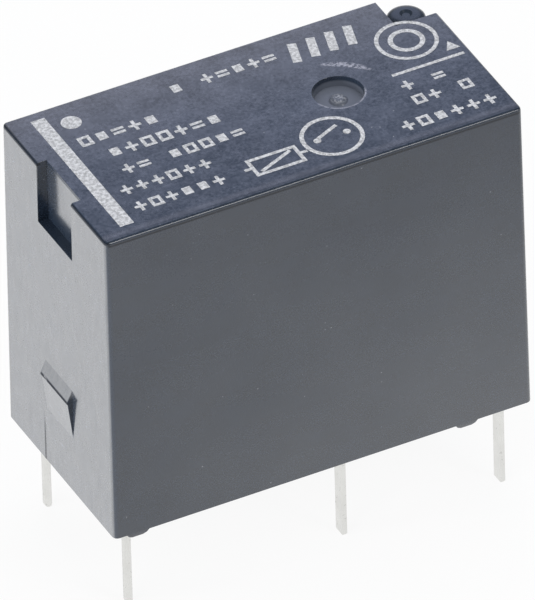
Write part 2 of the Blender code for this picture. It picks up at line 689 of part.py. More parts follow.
def make_bobbin(parts, tools):
    """Tube, two flanges and the ears that hold the coil pins."""
    outline = rounded(rectangle(CORE_X - BOBBIN_HALF_LENGTH, CORE_X + BOBBIN_HALF_LENGTH,
                                -BOBBIN_HALF_WIDTH, BOBBIN_HALF_WIDTH), BOBBIN_CORNER)
    bobbin = plate("bobbin", outline, FLANGE_Z, FLANGE_Z + FLANGE_THICKNESS, "Z", parts, BOBBIN_PLASTIC)
    upper = plate("upper flange", outline, UPPER_FLANGE_Z, UPPER_FLANGE_Z + FLANGE_THICKNESS, "Z", tools)
    bore = CORE_RADIUS + SEAT
    tube = cylinder("bobbin tube", bore + BOBBIN_TUBE_WALL, FLANGE_Z + FLANGE_THICKNESS / 2.0,
                    UPPER_FLANGE_Z + FLANGE_THICKNESS / 2.0, (CORE_X, 0, 0), "Z", tools)
    join(bobbin, tube, upper)
    for side, face in ((-1, "front"), (1, "back")):
        y = side * COIL_PIN_PITCH / 2.0
        low = (COIL_PIN_X - EAR_LENGTH / 2.0, y - EAR_WIDTH / 2.0, FLANGE_Z)
        high = (COIL_PIN_X + EAR_LENGTH / 2.0, y + EAR_WIDTH / 2.0, FLANGE_Z + EAR_HEIGHT)
        join(bobbin, box("ear " + face, low, high, tools))
        half_x = COIL_PIN_THICKNESS / 2.0 + SEAT
        half_y = COIL_PIN_WIDTH / 2.0 + SEAT
        cut(bobbin, box("ear hole " + face, (COIL_PIN_X - half_x, y - half_y, FLANGE_Z - CASE_WALL),
                        (COIL_PIN_X + half_x, y + half_y, FLANGE_Z + EAR_HEIGHT + CASE_WALL), tools))
    cut(bobbin, cylinder("bobbin bore", bore, FLANGE_Z - CASE_WALL,
                         UPPER_FLANGE_Z + FLANGE_THICKNESS + CASE_WALL, (CORE_X, 0, 0), "Z", tools))
    return bobbin


def make_coil(parts):
    """The winding and the tape round it, as turned rings."""
    inner = CORE_RADIUS + SEAT + BOBBIN_TUBE_WALL + SEAT
    top = WINDING_Z + WINDING_HEIGHT
    turned("coil_winding", [(inner, top), (WINDING_RADIUS, top), (WINDING_RADIUS, WINDING_Z),
                            (inner, WINDING_Z)], (CORE_X, 0, 0), "Z", parts, COPPER, closed=True)
    tape_in = WINDING_RADIUS + SEAT
    tape_out = tape_in + TAPE_THICKNESS
    low = WINDING_Z + TAPE_MARGIN
    high = top - TAPE_MARGIN
    turned("coil_tape", [(tape_in, high), (tape_out, high), (tape_out, low), (tape_in, low)],
           (CORE_X, 0, 0), "Z", parts, TAPE, closed=True)


def make_core(parts):
    """Shank with a pole head, staked in the yoke's lower leg."""
    edge = CORE_HEAD_THICKNESS * 0.15
    turned("core", [
        (0.0, IRON_TOP_Z),
        (CORE_HEAD_RADIUS - edge, IRON_TOP_Z),
        (CORE_HEAD_RADIUS, IRON_TOP_Z - edge),
        (CORE_HEAD_RADIUS, CORE_HEAD_Z),
        (CORE_RADIUS, CORE_HEAD_Z),
        (CORE_RADIUS, YOKE_Z + YOKE_THICKNESS + SEAT),
        (CORE_STAKE_RADIUS, YOKE_Z + YOKE_THICKNESS + SEAT),
        (CORE_STAKE_RADIUS, YOKE_Z),
        (0.0, YOKE_Z),
    ], (CORE_X, 0, 0), "Z", parts, IRON)


def make_yoke(parts, tools):
    """The L of flat iron under and beside the coil."""
    half = YOKE_THICKNESS / 2.0
    path = [(YOKE_LEFT_X, YOKE_Z + half), (YOKE_FACE_X - half, YOKE_Z + half),
            (YOKE_FACE_X - half, IRON_TOP_Z)]
    yoke = plate("yoke", bent_strip(path, YOKE_THICKNESS, YOKE_BEND),
                 -YOKE_HALF_WIDTH, YOKE_HALF_WIDTH, "Y", parts, IRON)
    cut(yoke, cylinder("stake hole", CORE_STAKE_RADIUS + SEAT, YOKE_Z - CASE_WALL,
                       YOKE_Z + YOKE_THICKNESS + CASE_WALL, (CORE_X, 0, 0), "Z", tools))
    cut(yoke, cylinder("hinge rivet hole", HINGE_RIVET_RADIUS + SEAT,
                       YOKE_FACE_X - YOKE_THICKNESS - CASE_WALL, YOKE_FACE_X + CASE_WALL,
                       (0, 0, IRON_TOP_Z - HINGE_RIVET_DROP), "X", tools))
    return yoke


def make_armature(parts, tools):
    """The bell crank, drawn closed about its pivot and turned open about it."""
    pivot = bpy.data.objects.new("armature_pivot", None)
    pivot.location = (YOKE_FACE_X, 0, PIVOT_Z)
    pivot.rotation_euler = (0, OPEN_ANGLE, 0)
    parts.objects.link(pivot)
    half = ARMATURE_THICKNESS / 2.0
    arm_z = SEAT / 2.0 + half
    tail_x = TAIL_OFFSET + half
    left = CORE_X - ARMATURE_LEFT_REACH - YOKE_FACE_X
    path = [(left, arm_z), (tail_x, arm_z), (tail_x, -TAIL_LENGTH)]
    armature = plate("armature", bent_strip(path, ARMATURE_THICKNESS, ARMATURE_BEND),
                     -TAIL_HALF_WIDTH, TAIL_HALF_WIDTH, "Y", parts, IRON)
    wide_right = -YOKE_THICKNESS
    pole = plate("armature pole", rounded(rectangle(left, wide_right, -ARMATURE_HALF_WIDTH,
                                                    ARMATURE_HALF_WIDTH), SHEET_CORNER),
                 SEAT / 2.0, SEAT / 2.0 + ARMATURE_THICKNESS, "Z", tools)
    tip_top = -TAIL_LENGTH + TAIL_TIP_LENGTH
    window_low = tip_top + TAIL_BAR
    window = box("armature window", (-WINDOW_LEFT, -WINDOW_HALF_WIDTH, window_low),
                 (TAIL_OFFSET + ARMATURE_THICKNESS * 2.0, WINDOW_HALF_WIDTH, ARMATURE_THICKNESS * 2.0), tools)
    shoulders = []
    for side, face in ((-1, "front"), (1, "back")):
        near = side * TAIL_TIP_HALF_WIDTH
        far = side * TAIL_HALF_WIDTH * 2.0
        shoulders.append(box("tail shoulder " + face, (0.0, min(near, far), -TAIL_LENGTH * 2.0),
                             (TAIL_OFFSET + ARMATURE_THICKNESS * 2.0, max(near, far), tip_top), tools))
    join(armature, pole)
    cut(armature, window, *shoulders)
    for child in [armature, pole, window] + shoulders:
        child.parent = pivot
    return armature


def make_hinge_leaf(parts, tools):
    """The leaf that holds the armature down on the yoke's edge, and its rivet."""
    half = HINGE_LEAF_THICKNESS / 2.0
    rivet_z = IRON_TOP_Z - HINGE_RIVET_DROP
    leaf_x = YOKE_FACE_X + SEAT + half
    reach = HINGE_LEAF_LENGTH
    armature_top = SEAT / 2.0 + ARMATURE_THICKNESS
    lift = reach * math.sin(OPEN_ANGLE) + armature_top * math.cos(OPEN_ANGLE)
    hook_z = PIVOT_Z + lift + SEAT + half
    path = [(leaf_x, rivet_z - HINGE_LEAF_FOOT), (leaf_x, hook_z), (YOKE_FACE_X - reach, hook_z)]
    leaf = plate("hinge_spring", bent_strip(path, HINGE_LEAF_THICKNESS, HINGE_LEAF_BEND),
                 -HINGE_LEAF_HALF_WIDTH, HINGE_LEAF_HALF_WIDTH, "Y", parts, BRONZE)
    cut(leaf, cylinder("leaf hole", HINGE_RIVET_RADIUS + SEAT, YOKE_FACE_X - SEAT, YOKE_FACE_X + CASE_WALL,
                       (0, 0, rivet_z), "X", tools))
    head_x = YOKE_FACE_X + SEAT + HINGE_LEAF_THICKNESS + SEAT
    tail_x = YOKE_FACE_X - YOKE_THICKNESS
    edge = HINGE_RIVET_HEAD * 0.4
    turned("hinge_rivet", [
        (0.0, HINGE_RIVET_HEAD),
        (HINGE_RIVET_HEAD_RADIUS - edge, HINGE_RIVET_HEAD),
        (HINGE_RIVET_HEAD_RADIUS, HINGE_RIVET_HEAD - edge),
        (HINGE_RIVET_HEAD_RADIUS, 0.0),
        (HINGE_RIVET_RADIUS, 0.0),
        (HINGE_RIVET_RADIUS, tail_x - head_x),
        (0.0, tail_x - head_x),
    ], (head_x, 0, rivet_z), "X", parts, STEEL)


def make_card(parts):
    """The card: a fork round the armature's tip, and two noses that push the contact spring."""
    tail_outer = TAIL_OFFSET + ARMATURE_THICKNESS
    push_x = YOKE_FACE_X + tail_outer * math.cos(OPEN_ANGLE) - (CARD_DEPTH - CARD_THICKNESS / 2.0) * math.sin(
        OPEN_ANGLE) + SEAT
    nose_x = SPRING_LEFT_X - SEAT
    body_x = nose_x - CARD_NOSE_LENGTH
    fork = TAIL_TIP_HALF_WIDTH + RUNNING
    inner = CARD_NOSE_Y - CARD_NOSE_WIDTH / 2.0
    outer = CARD_NOSE_Y + CARD_NOSE_WIDTH / 2.0
    upper = [
        (push_x, fork),
        (push_x - CARD_ARM, fork),
        (push_x - CARD_ARM, CARD_HALF_WIDTH),
        (body_x, CARD_HALF_WIDTH),
        (body_x, outer),
        (nose_x, outer),
        (nose_x, inner),
        (body_x, inner),
    ]
    outline = upper + [(x, -y) for x, y in upper[::-1]]
    card = plate("actuator_card", outline, CARD_Z, CARD_Z + CARD_THICKNESS, "Z", parts, CARD_PLASTIC)
    return card


def contact_profile(head, shank):
    """A contact rivet: a crowned head, a shank and a staked tail, along its axis from the head down."""
    crown = [(CONTACT_RADIUS * math.sin(math.radians(angle)) / math.sin(math.radians(30)),
              head - CONTACT_CROWN * (1.0 - math.cos(math.radians(angle))) / (1.0 - math.cos(math.radians(30))))
             for angle in (0, 8, 16, 24, 30)]
    return crown + [
        (CONTACT_RADIUS, 0.0),
        (CONTACT_SHANK_RADIUS, 0.0),
        (CONTACT_SHANK_RADIUS, -shank),
        (CONTACT_STAKE_RADIUS, -shank),
        (CONTACT_STAKE_RADIUS, -shank - CONTACT_STAKE),
        (0.0, -shank - CONTACT_STAKE),
    ]


def make_contact_spring(parts, tools):
    """The moving spring with its contact, on a pivot at the rivet line, and the two rivets."""
    pivot = bpy.data.objects.new("contact_spring_pivot", None)
    pivot.location = (SPRING_X, 0, SPRING_RIVET_Z)
    parts.objects.link(pivot)
    top = CONTACT_ABOVE_RIVETS + CONTACT_RADIUS + RUNNING
    outline = rounded(rectangle(-SPRING_HALF_WIDTH, SPRING_HALF_WIDTH, -SPRING_FOOT, top), SHEET_CORNER)
    half = SPRING_THICKNESS / 2.0
    spring = plate("moving_spring", outline, -half, half, "X", parts, BRONZE)
    holes = []
    for side, face in ((-1, "front"), (1, "back")):
        holes.append(cylinder("spring hole " + face, SPRING_RIVET_RADIUS + SEAT, -CASE_WALL, CASE_WALL,
                              (0, side * SPRING_RIVET_Y, 0), "X", tools))
    holes.append(cylinder("contact hole", CONTACT_SHANK_RADIUS + SEAT, -CASE_WALL, CASE_WALL,
                          (0, 0, CONTACT_ABOVE_RIVETS), "X", tools))
    cut(spring, *holes)
    contact = turned("moving_contact", contact_profile(CONTACT_HEAD, SPRING_THICKNESS + 2.0 * SEAT),
                     (half + SEAT, 0, CONTACT_ABOVE_RIVETS), "X", parts, SILVER)
    for child in [spring, contact] + holes:
        child.parent = pivot

    head = SPRING_RIVET_HEAD
    grip = RUNNING + SPRING_THICKNESS + RUNNING + STRIP_THICKNESS + SEAT
    for side, face in ((-1, "front"), (1, "back")):
        turned("spring_rivet_" + face, [
            (0.0, head + grip + head),
            (SPRING_RIVET_HEAD_RADIUS * 0.9, head + grip + head),
            (SPRING_RIVET_HEAD_RADIUS * 0.9, head + grip),
            (SPRING_RIVET_RADIUS, head + grip),
            (SPRING_RIVET_RADIUS, head),
            (SPRING_RIVET_HEAD_RADIUS, head),
            (SPRING_RIVET_HEAD_RADIUS, head * 0.35),
            (SPRING_RIVET_HEAD_RADIUS * 0.8, 0.0),
            (0.0, 0.0),
        ], (SPRING_LEFT_X - RUNNING - head, side * SPRING_RIVET_Y, SPRING_RIVET_Z), "X", parts, STEEL)


def pin_strip(name, path, group, finish=None):
    """A contact pin and the strip that goes on from it, seen from the front as bent sheet."""
    low = CONTACT_PIN_Y - CONTACT_PIN_WIDTH / 2.0
    high = CONTACT_PIN_Y + CONTACT_PIN_WIDTH / 2.0
    strip = plate(name, bent_strip(path, PIN_THICKNESS, TERMINAL_BEND), low, high, "Y", group, finish)
    round_edges(strip, PIN_TIP_CHAMFER, lambda first, second: 1.0
                if first.z < PIN_TIP_CHAMFER and second.z < PIN_TIP_CHAMFER else 0.0, segments=2)
    return strip


def make_common_terminal(parts, tools):
    """Pin, strip along the base and the tab that the contact spring is riveted to."""
    half = STRIP_THICKNESS / 2.0
    strip_z = BASE_TOP_Z + SEAT + half
    tab_middle = TAB_X + half
    tab_top = SPRING_RIVET_Z + TAB_ABOVE_RIVETS
    path = [(COMMON_PIN_X, 0.0), (COMMON_PIN_X, strip_z), (BARRIER_X, strip_z)]
    terminal = pin_strip("common_terminal", path, parts, TINNED)
    strip_start = (COMMON_PIN_X + BARRIER_X) / 2.0
    wide_path = [(strip_start, strip_z), (tab_middle, strip_z), (tab_middle, tab_top)]
    strip = plate("common strip", bent_strip(wide_path, STRIP_THICKNESS, TERMINAL_BEND),
                  STRIP_FRONT_Y, SPRING_HALF_WIDTH, "Y", tools)
    beside = box("beside the strip", (strip_start - CASE_WALL, STRIP_FRONT_Y + STRIP_WIDTH, BASE_TOP_Z),
                 (tab_middle + CASE_WALL, CASE_WIDTH, strip_z + half + TERMINAL_BEND), tools)
    cut(strip, beside)
    join(terminal, strip)
    for side, face in ((-1, "front"), (1, "back")):
        cut(terminal, cylinder("tab hole " + face, SPRING_RIVET_RADIUS + SEAT, TAB_X - CASE_WALL,
                               TAB_X + STRIP_THICKNESS + CASE_WALL,
                               (0, side * SPRING_RIVET_Y, SPRING_RIVET_Z), "X", tools))
    return terminal


def make_open_terminal(parts, tools):
    """Pin with a jog, and the blade that holds the fixed contact."""
    half = STRIP_THICKNESS / 2.0
    foot_low = BASE_TOP_Z + BLADE_FOOT_ABOVE_BASE
    foot_high = foot_low + BLADE_FOOT_HEIGHT
    blade_middle = BLADE_X + half
    jog_low = BASE_TOP_Z + BLADE_FOOT_ABOVE_BASE / 2.0
    jog_high = jog_low + BLADE_FOOT_ABOVE_BASE
    path = [(OPEN_PIN_X, 0.0), (OPEN_PIN_X, jog_low), (blade_middle, jog_high), (blade_middle, foot_high)]
    terminal = pin_strip("open_terminal", path, parts, TINNED)
    front = STRIP_FRONT_Y
    blade_top = CONTACT_Z + BLADE_ABOVE_CONTACT
    wide_low = jog_high + half
    outline = (fillet((front, foot_high), (front, wide_low), (0.0, wide_low), SHEET_CORNER / 2.0)
               + fillet((front, wide_low), (BLADE_HALF_WIDTH, wide_low), (BLADE_HALF_WIDTH, blade_top), SHEET_CORNER)
               + fillet((BLADE_HALF_WIDTH, wide_low), (BLADE_HALF_WIDTH, blade_top), (0.0, blade_top), SHEET_CORNER)
               + fillet((0.0, blade_top), (-BLADE_HALF_WIDTH, blade_top), (-BLADE_HALF_WIDTH, foot_high), SHEET_CORNER)
               + fillet((-BLADE_HALF_WIDTH, blade_top), (-BLADE_HALF_WIDTH, foot_high), (front, foot_high), SHEET_CORNER)
               + fillet((-BLADE_HALF_WIDTH, foot_high), (front, foot_high), (front, wide_low), SHEET_CORNER / 2.0))
    blade = plate("open blade", outline, BLADE_X, BLADE_X + STRIP_THICKNESS, "X", tools)
    join(terminal, blade)
    cut(terminal, cylinder("blade hole", CONTACT_SHANK_RADIUS + SEAT, BLADE_X - CASE_WALL,
                           BLADE_X + STRIP_THICKNESS + CASE_WALL, (0, 0, CONTACT_Z), "X", tools))
    contact = turned("fixed_contact", contact_profile(CONTACT_HEAD, STRIP_THICKNESS + 2.0 * SEAT),
                     (BLADE_X - SEAT, 0, CONTACT_Z), "X", parts, SILVER)
    contact.rotation_euler = (0, math.radians(-90), 0)
    return terminal


def make_coil_pins(parts):
    """The coil's two pins, up through the base and the bobbin's ears to a winding post."""
    top = FLANGE_Z + EAR_HEIGHT + COIL_PIN_POST
    for side, face in ((-1, "front"), (1, "back")):
        y = side * COIL_PIN_PITCH / 2.0
        pin = box("coil_pin_" + face, (COIL_PIN_X - COIL_PIN_THICKNESS / 2.0, y - COIL_PIN_WIDTH / 2.0, 0.0),
                  (COIL_PIN_X + COIL_PIN_THICKNESS / 2.0, y + COIL_PIN_WIDTH / 2.0, top), parts, TINNED)
        round_edges(pin, PIN_TIP_CHAMFER, lambda first, second: 1.0
                    if first.z == second.z else 0.0, segments=2)


def make_leads(parts):
    """The coil's two wire ends: off the winding's bare edge, and a few turns round the pin's post."""
    post = math.hypot(COIL_PIN_THICKNESS, COIL_PIN_WIDTH) / 2.0
    turn_radius = post + LEAD_RADIUS + SEAT
    ear_top = FLANGE_Z + EAR_HEIGHT
    first_z = ear_top + LEAD_RADIUS + SEAT
    pitch = LEAD_RADIUS * 2.4
    for side, face in ((-1, "front"), (1, "back")):
        pin_y = COIL_PIN_PITCH / 2.0
        out = Vector((COIL_PIN_X - CORE_X, pin_y)).normalized()
        start = Vector((CORE_X, 0.0)) + out * (WINDING_RADIUS + LEAD_RADIUS + SEAT)
        start_z = WINDING_Z + TAPE_MARGIN / 2.0
        entry = math.degrees(math.atan2(-out.y, -out.x)) - 90.0
        points = []
        landing = Vector((COIL_PIN_X, pin_y)) + Vector((math.cos(math.radians(entry)),
                                                        math.sin(math.radians(entry)))) * turn_radius
        for step in range(6):
            share = step / 6.0
            rise = share * share * (3.0 - 2.0 * share)
            run = start.lerp(landing, share)
            points.append((run.x, run.y, start_z + (first_z - start_z) * min(1.0, rise * 1.6)))
        for step in range(LEAD_TURNS * 12 + 1):
            angle = math.radians(entry + 30.0 * step)
            height = first_z + pitch * step / 12.0
            points.append((COIL_PIN_X + turn_radius * math.cos(angle), pin_y + turn_radius * math.sin(angle), height))
        curve = bpy.data.curves.new("coil_lead_" + face, "CURVE")
        curve.dimensions = "3D"
        curve.bevel_depth = LEAD_RADIUS
        curve.bevel_resolution = 1
        curve.use_fill_caps = True
        spline = curve.splines.new("POLY")
        spline.points.add(len(points) - 1)
        for point, place in zip(spline.points, points):
            point.co = (place[0], side * place[1], place[2], 1.0)
        curve.materials.append(material(COPPER))
        lead = bpy.data.objects.new("coil_lead_" + face, curve)
        parts.objects.link(lead)


def main():
    for old in list(bpy.data.objects):
        bpy.data.objects.remove(old)
    parts = bpy.data.collections.new("power relay")
    tools = bpy.data.collections.new("cutters and joined forms")
    bpy.context.scene.collection.children.link(parts)
    bpy.context.scene.collection.children.link(tools)
    make_cover(parts, tools)
    make_base(parts, tools)
    make_resin(parts, tools)
    make_bobbin(parts, tools)
    make_coil(parts)
    make_core(parts)
    make_yoke(parts, tools)
    make_armature(parts, tools)
    make_hinge_leaf(parts, tools)
    make_card(parts)
    make_contact_spring(parts, tools)
    make_common_terminal(parts, tools)
    make_open_terminal(parts, tools)
    make_coil_pins(parts)
    make_leads(parts)


main()
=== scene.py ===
import math

import bmesh
import bpy
from mathutils import Matrix, Vector


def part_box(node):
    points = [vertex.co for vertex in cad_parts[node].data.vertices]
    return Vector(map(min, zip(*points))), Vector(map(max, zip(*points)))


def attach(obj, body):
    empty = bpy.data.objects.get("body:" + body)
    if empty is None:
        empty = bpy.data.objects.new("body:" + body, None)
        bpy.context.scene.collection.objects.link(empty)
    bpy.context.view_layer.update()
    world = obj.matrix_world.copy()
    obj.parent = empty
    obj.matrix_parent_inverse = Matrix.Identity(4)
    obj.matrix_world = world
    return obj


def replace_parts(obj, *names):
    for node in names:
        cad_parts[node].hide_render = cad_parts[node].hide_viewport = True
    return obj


# Looks of the sealed power relay: its finishes, its print, the coil's turns, and the studio.
# Everything is in metres in the part's own frame, +Z up, with the pin tips on the floor.

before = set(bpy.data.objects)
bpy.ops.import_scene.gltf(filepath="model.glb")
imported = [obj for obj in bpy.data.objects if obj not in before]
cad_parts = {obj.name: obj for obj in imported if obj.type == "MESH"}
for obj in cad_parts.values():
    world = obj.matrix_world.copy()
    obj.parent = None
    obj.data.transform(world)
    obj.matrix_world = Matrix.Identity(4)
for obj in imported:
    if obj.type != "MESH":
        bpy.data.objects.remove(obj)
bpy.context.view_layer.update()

bl_info = {
    "name": "Sealed relay looks",
    "version": (1, 0, 0),
    "blender": (4, 5, 0),
    "location": "3D View > Sidebar > Relay",
    "description": "Gives the sealed power relay its finishes, print, coil turns and studio",
    "category": "Object",
}

MM = 0.001

# Camera, solved on the case's edges in the photograph
SENSOR = 36.0
CAMERA_AZIMUTH = math.radians(-26.190)
CAMERA_ELEVATION = math.radians(37.210)
CAMERA_ROLL = math.radians(-1.677)
CAMERA_DISTANCE = 1.0
CAMERA_LENS = 1404.9
CAMERA_RIGHT = -0.136 * MM
CAMERA_UP = 4.841 * MM

# Levels of the case, read from the part
CASE_LOW, CASE_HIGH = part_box("cover")
TOP = CASE_HIGH.z
SEAT = CASE_LOW.z
FRONT = CASE_LOW.y
RIM = SEAT + 0.3 * MM

# Walls, end pocket and latch bump of the case
BODY_LEFT = -10.0 * MM
WALL_LEAN = 0.11 / 15.6
POCKET_SIDE = 1.6 * MM
POCKET_LEDGE = TOP - 3.05 * MM
POCKET_DEPTH = 0.7 * MM
BUMP_SIDE = 1.25 * MM
BUMP_LOW = RIM + 3.0 * MM
BUMP_HIGH = RIM + 5.1 * MM

# Gate recess: its middle, and the radii of its nub, its torn mark, its floor, its edge, painted with a
# highlight on the near side, and the rubbed arc
GATE = (3.58 * MM, -0.1 * MM)
NUB_REACH = 0.6 * MM
TORN_REACH = 0.34 * MM
GATE_REACH = 1.15 * MM
LIP_INNER, LIP_OUTER = 1.08 * MM, 1.2 * MM
ARC_INNER, ARC_OUTER = 1.78 * MM, 2.12 * MM

# Feet of the case as the part has them, and how far their roundings are drawn out
FOOT_MIDDLES = (BODY_LEFT + 1.15 * MM, -BODY_LEFT - 3.12 * MM)
FOOT_HALF = 0.525 * MM
FOOT_EDGE = 0.1 * MM
FOOT_SIDE = 4.875 * MM
FOOT_FALL = 0.25 * MM
FOOT_PUSH = 0.075 * MM

# Slit in the coil end below the latch bump
SLIT_MIDDLE = 1.45 * MM
SLIT_HALF = 0.06 * MM
SLIT_TOP = SEAT + 2.4 * MM

# Borders between two zones of a finish: how soft a crisp one is, and the dull strip beside a corner
CRISP = 0.01 * MM
CORNER_STRIP = 0.03 * MM

# Colours on the case: dust and scuffs worn into the plastic, painted light on the recess floor, on the top
# behind the front edge and towards the top's back, and the dark lines, of which some are painted shade
DUST_TONE = (0.45, 0.46, 0.5)
SCUFF_TONE = (0.42, 0.42, 0.48)
PAINTED_GATE_LIGHT_TONE = (0.155, 0.17, 0.21)
PAINTED_EDGE_HIGHLIGHT_TONE = (0.09, 0.095, 0.12)
PAINTED_BACK_LIGHT_TONE = (0.09, 0.085, 0.085)
DARK_TONE = (0.005, 0.007, 0.013)
CLOUD_LIGHT = 1.7

# Gloss of the case's sides: its rise for each metre below the top, the rise's own growth and its fall
# towards the contact end, and the part taken off at the top
SIDE_RISE = 0.0095 / MM
SIDE_GROWTH = 0.074 / MM
SIDE_FALL = 0.003 / MM
SIDE_START = 0.083
SKIN_IOR = 3.15

# Work on the case's mesh: a rounding's faces are narrower than STRIP_BREADTH and bend by less than CURVED,
# a bend below LEVEL or FLAT is none, and one above SHARP is an edge. SAME and MERGED are millimetres.
STRIP_BREADTH = 0.15 * MM
CURVED = math.radians(32.0)
LEVEL = math.radians(1.0)
FLAT = math.radians(0.6)
SHARP = math.radians(40.0)
CREASE = math.radians(60.0)
ROUNDING_STEPS = 3
SAME = 0.001
MERGED = 0.0005

# Signs of the printed rows, and the share of them that is printed
SIGN_WIDTH = 0.4 * MM
SIGN_HEIGHT = 0.5 * MM
SIGN_STROKE = 0.15 * MM
SIGN_STEP = 0.74 * MM
SIGN_SHARE = 0.88
PRINT_DEPTH = 0.02 * MM
STROKE_WIDTH = 0.17 * MM

# Ink where it lies thin and thick, beside its colour
INK_THIN = 0.68
INK_THICK = 1.2

# Coil: the step from turn to turn beside the wire's diameter, and the depth of the layers below
TURN_STEP = 1.01
LAYERS_DEPTH = 1.4 * MM


class Shade:
    """A socket of a node tree, so that a formula on values reads as one."""

    def __init__(self, graph, socket):
        self.graph = graph
        self.socket = socket

    def __add__(self, other):
        return self.graph.maths("ADD", self, other)

    def __sub__(self, other):
        return self.graph.maths("SUBTRACT", self, other)

    def __mul__(self, other):
        return self.graph.maths("MULTIPLY", self, other)

    def __radd__(self, other):
        return self.graph.maths("ADD", other, self)

    def __rsub__(self, other):
        return self.graph.maths("SUBTRACT", other, self)

    def __rmul__(self, other):
        return self.graph.maths("MULTIPLY", other, self)

    def __abs__(self):
        return self.graph.maths("ABSOLUTE", self, 0.0)

    def root(self):
        """The square root."""
        return self.graph.maths("SQRT", self, 0.0)

    def over(self, edge, soft):
        """Rises from 0 to 1 as the value passes an edge."""
        sockets = {"Value": self, "From Min": edge - soft, "From Max": edge + soft}
        return self.graph.node("ShaderNodeMapRange", {"interpolation_type": "SMOOTHSTEP"}, sockets)

    def within(self, low, high, soft):
        """Is 1 between two edges and 0 outside them."""
        return self.over(low, soft) * (1.0 - self.over(high, soft))


class Graph:
    """Builds the nodes of one tree, of a material or of a shape."""

    def __init__(self, tree):
        self.tree = tree

    def feed(self, socket, value):
        """Link a shade to a socket, or set the socket to a value."""
        if isinstance(value, Shade):
            self.tree.links.new(value.socket, socket)
        elif socket.type == "RGBA" and len(value) == 3:
            socket.default_value = (*value, 1.0)
        else:
            socket.default_value = value

    def node(self, kind, settings=None, sockets=None, out=0):
        """Make a node: first its settings, then the values or links of its sockets."""
        made = self.tree.nodes.new(kind)
        for name, value in (settings or {}).items():
            setattr(made, name, value)
        for name, value in (sockets or {}).items():
            self.feed(made.inputs[name], value)
        return Shade(self, made.outputs[out]) if made.outputs else None

    def maths(self, operation, first, second):
        """One step of sums on two values."""
        return self.node("ShaderNodeMath", {"operation": operation}, {0: first, 1: second})

    def place(self):
        """The point on the piece, in metres of the part's frame."""
        return self.node("ShaderNodeTexCoord", out="Object")

    def axes(self, place):
        """The three parts of a point or a direction."""
        split = self.node("ShaderNodeSeparateXYZ", None, {0: place})
        outputs = split.socket.node.outputs
        return Shade(self, outputs["X"]), Shade(self, outputs["Y"]), Shade(self, outputs["Z"])

    def stretched(self, place, scale):
        """A point scaled along each axis. A pattern on it is drawn out where the scale is small."""
        return self.node("ShaderNodeVectorMath", {"operation": "MULTIPLY"}, {0: place, 1: scale})

    def noise(self, place, size, detail=2.0, roughness=0.5):
        """Even noise whose lumps are about one size across, in metres."""
        sockets = {"Vector": place, "Scale": 1.0 / size, "Detail": detail, "Roughness": roughness}
        return self.node("ShaderNodeTexNoise", None, sockets)

    def cells(self, place, size):
        """The distance to the nearest of many scattered points, in cells."""
        return self.node("ShaderNodeTexVoronoi", None, {"Vector": place, "Scale": 1.0 / size})

    def blend(self, factor, first, second):
        """The first colour where the factor is 0, the second where it is 1."""
        sockets = {0: factor, 6: first, 7: second}
        return self.node("ShaderNodeMix", {"data_type": "RGBA"}, sockets, out=2)

    def relief(self, height, depth):
        """The normal of a surface with a fine relief."""
        return self.node("ShaderNodeBump", None, {"Height": height, "Distance": depth, "Strength": 1.0})


def new_finish(name):
    """A material with an empty tree, and the graph that fills it."""
    made = bpy.data.materials.new(name)
    made.use_nodes = True
    made.node_tree.nodes.clear()
    return made, Graph(made.node_tree)


def close_finish(graph, sockets):
    """End a material in one surface shader."""
    shader = graph.node("ShaderNodeBsdfPrincipled", None, sockets)
    graph.node("ShaderNodeOutputMaterial", None, {"Surface": shader})


def near(value, target):
    """Is 1 in a narrow strip about a target."""
    return 1.0 - abs(value - target).over(CORNER_STRIP, CRISP)


def end_zones(x, y, z, on_top, on_end):
    """Masks of the coil end: its polished skin, a strip of painted shade along its top edge, and the sides
    of its latch bump.
    """
    lean = (z - RIM) * WALL_LEAN
    depth = x - lean - BODY_LEFT
    on_face = 1.0 - depth.over(0.05 * MM, 0.03 * MM)
    in_pocket = z.over(POCKET_LEDGE - 0.05 * MM, CRISP)
    in_pocket = in_pocket * (1.0 - abs(y).over(POCKET_SIDE + 0.05 * MM, CRISP))
    in_pocket = in_pocket * depth.within(0.05 * MM, POCKET_DEPTH, 0.02 * MM)
    by_bump = near(abs(y), BUMP_SIDE) * z.within(BUMP_LOW, BUMP_HIGH, 0.2 * MM) * on_end
    dull = in_pocket * (near(abs(y), POCKET_SIDE) + near(z, POCKET_LEDGE)) + by_bump
    between_edges = 1.0 - (abs(y) + lean + FRONT).over(-0.05 * MM, 0.02 * MM)
    below_rim = 1.0 - z.over(TOP - 0.16 * MM, 0.02 * MM)
    polish = (1.0 - (1.0 - on_face) * (1.0 - in_pocket)) * between_edges * below_rim * (1.0 - dull)
    # Painted shade: a dark strip on the rounding between the top and the coil end.
    rim_shade = (1.0 - below_rim) * (1.0 - on_top) * (1.0 - depth.over(0.2 * MM, 0.02 * MM))
    return polish, rim_shade, by_bump


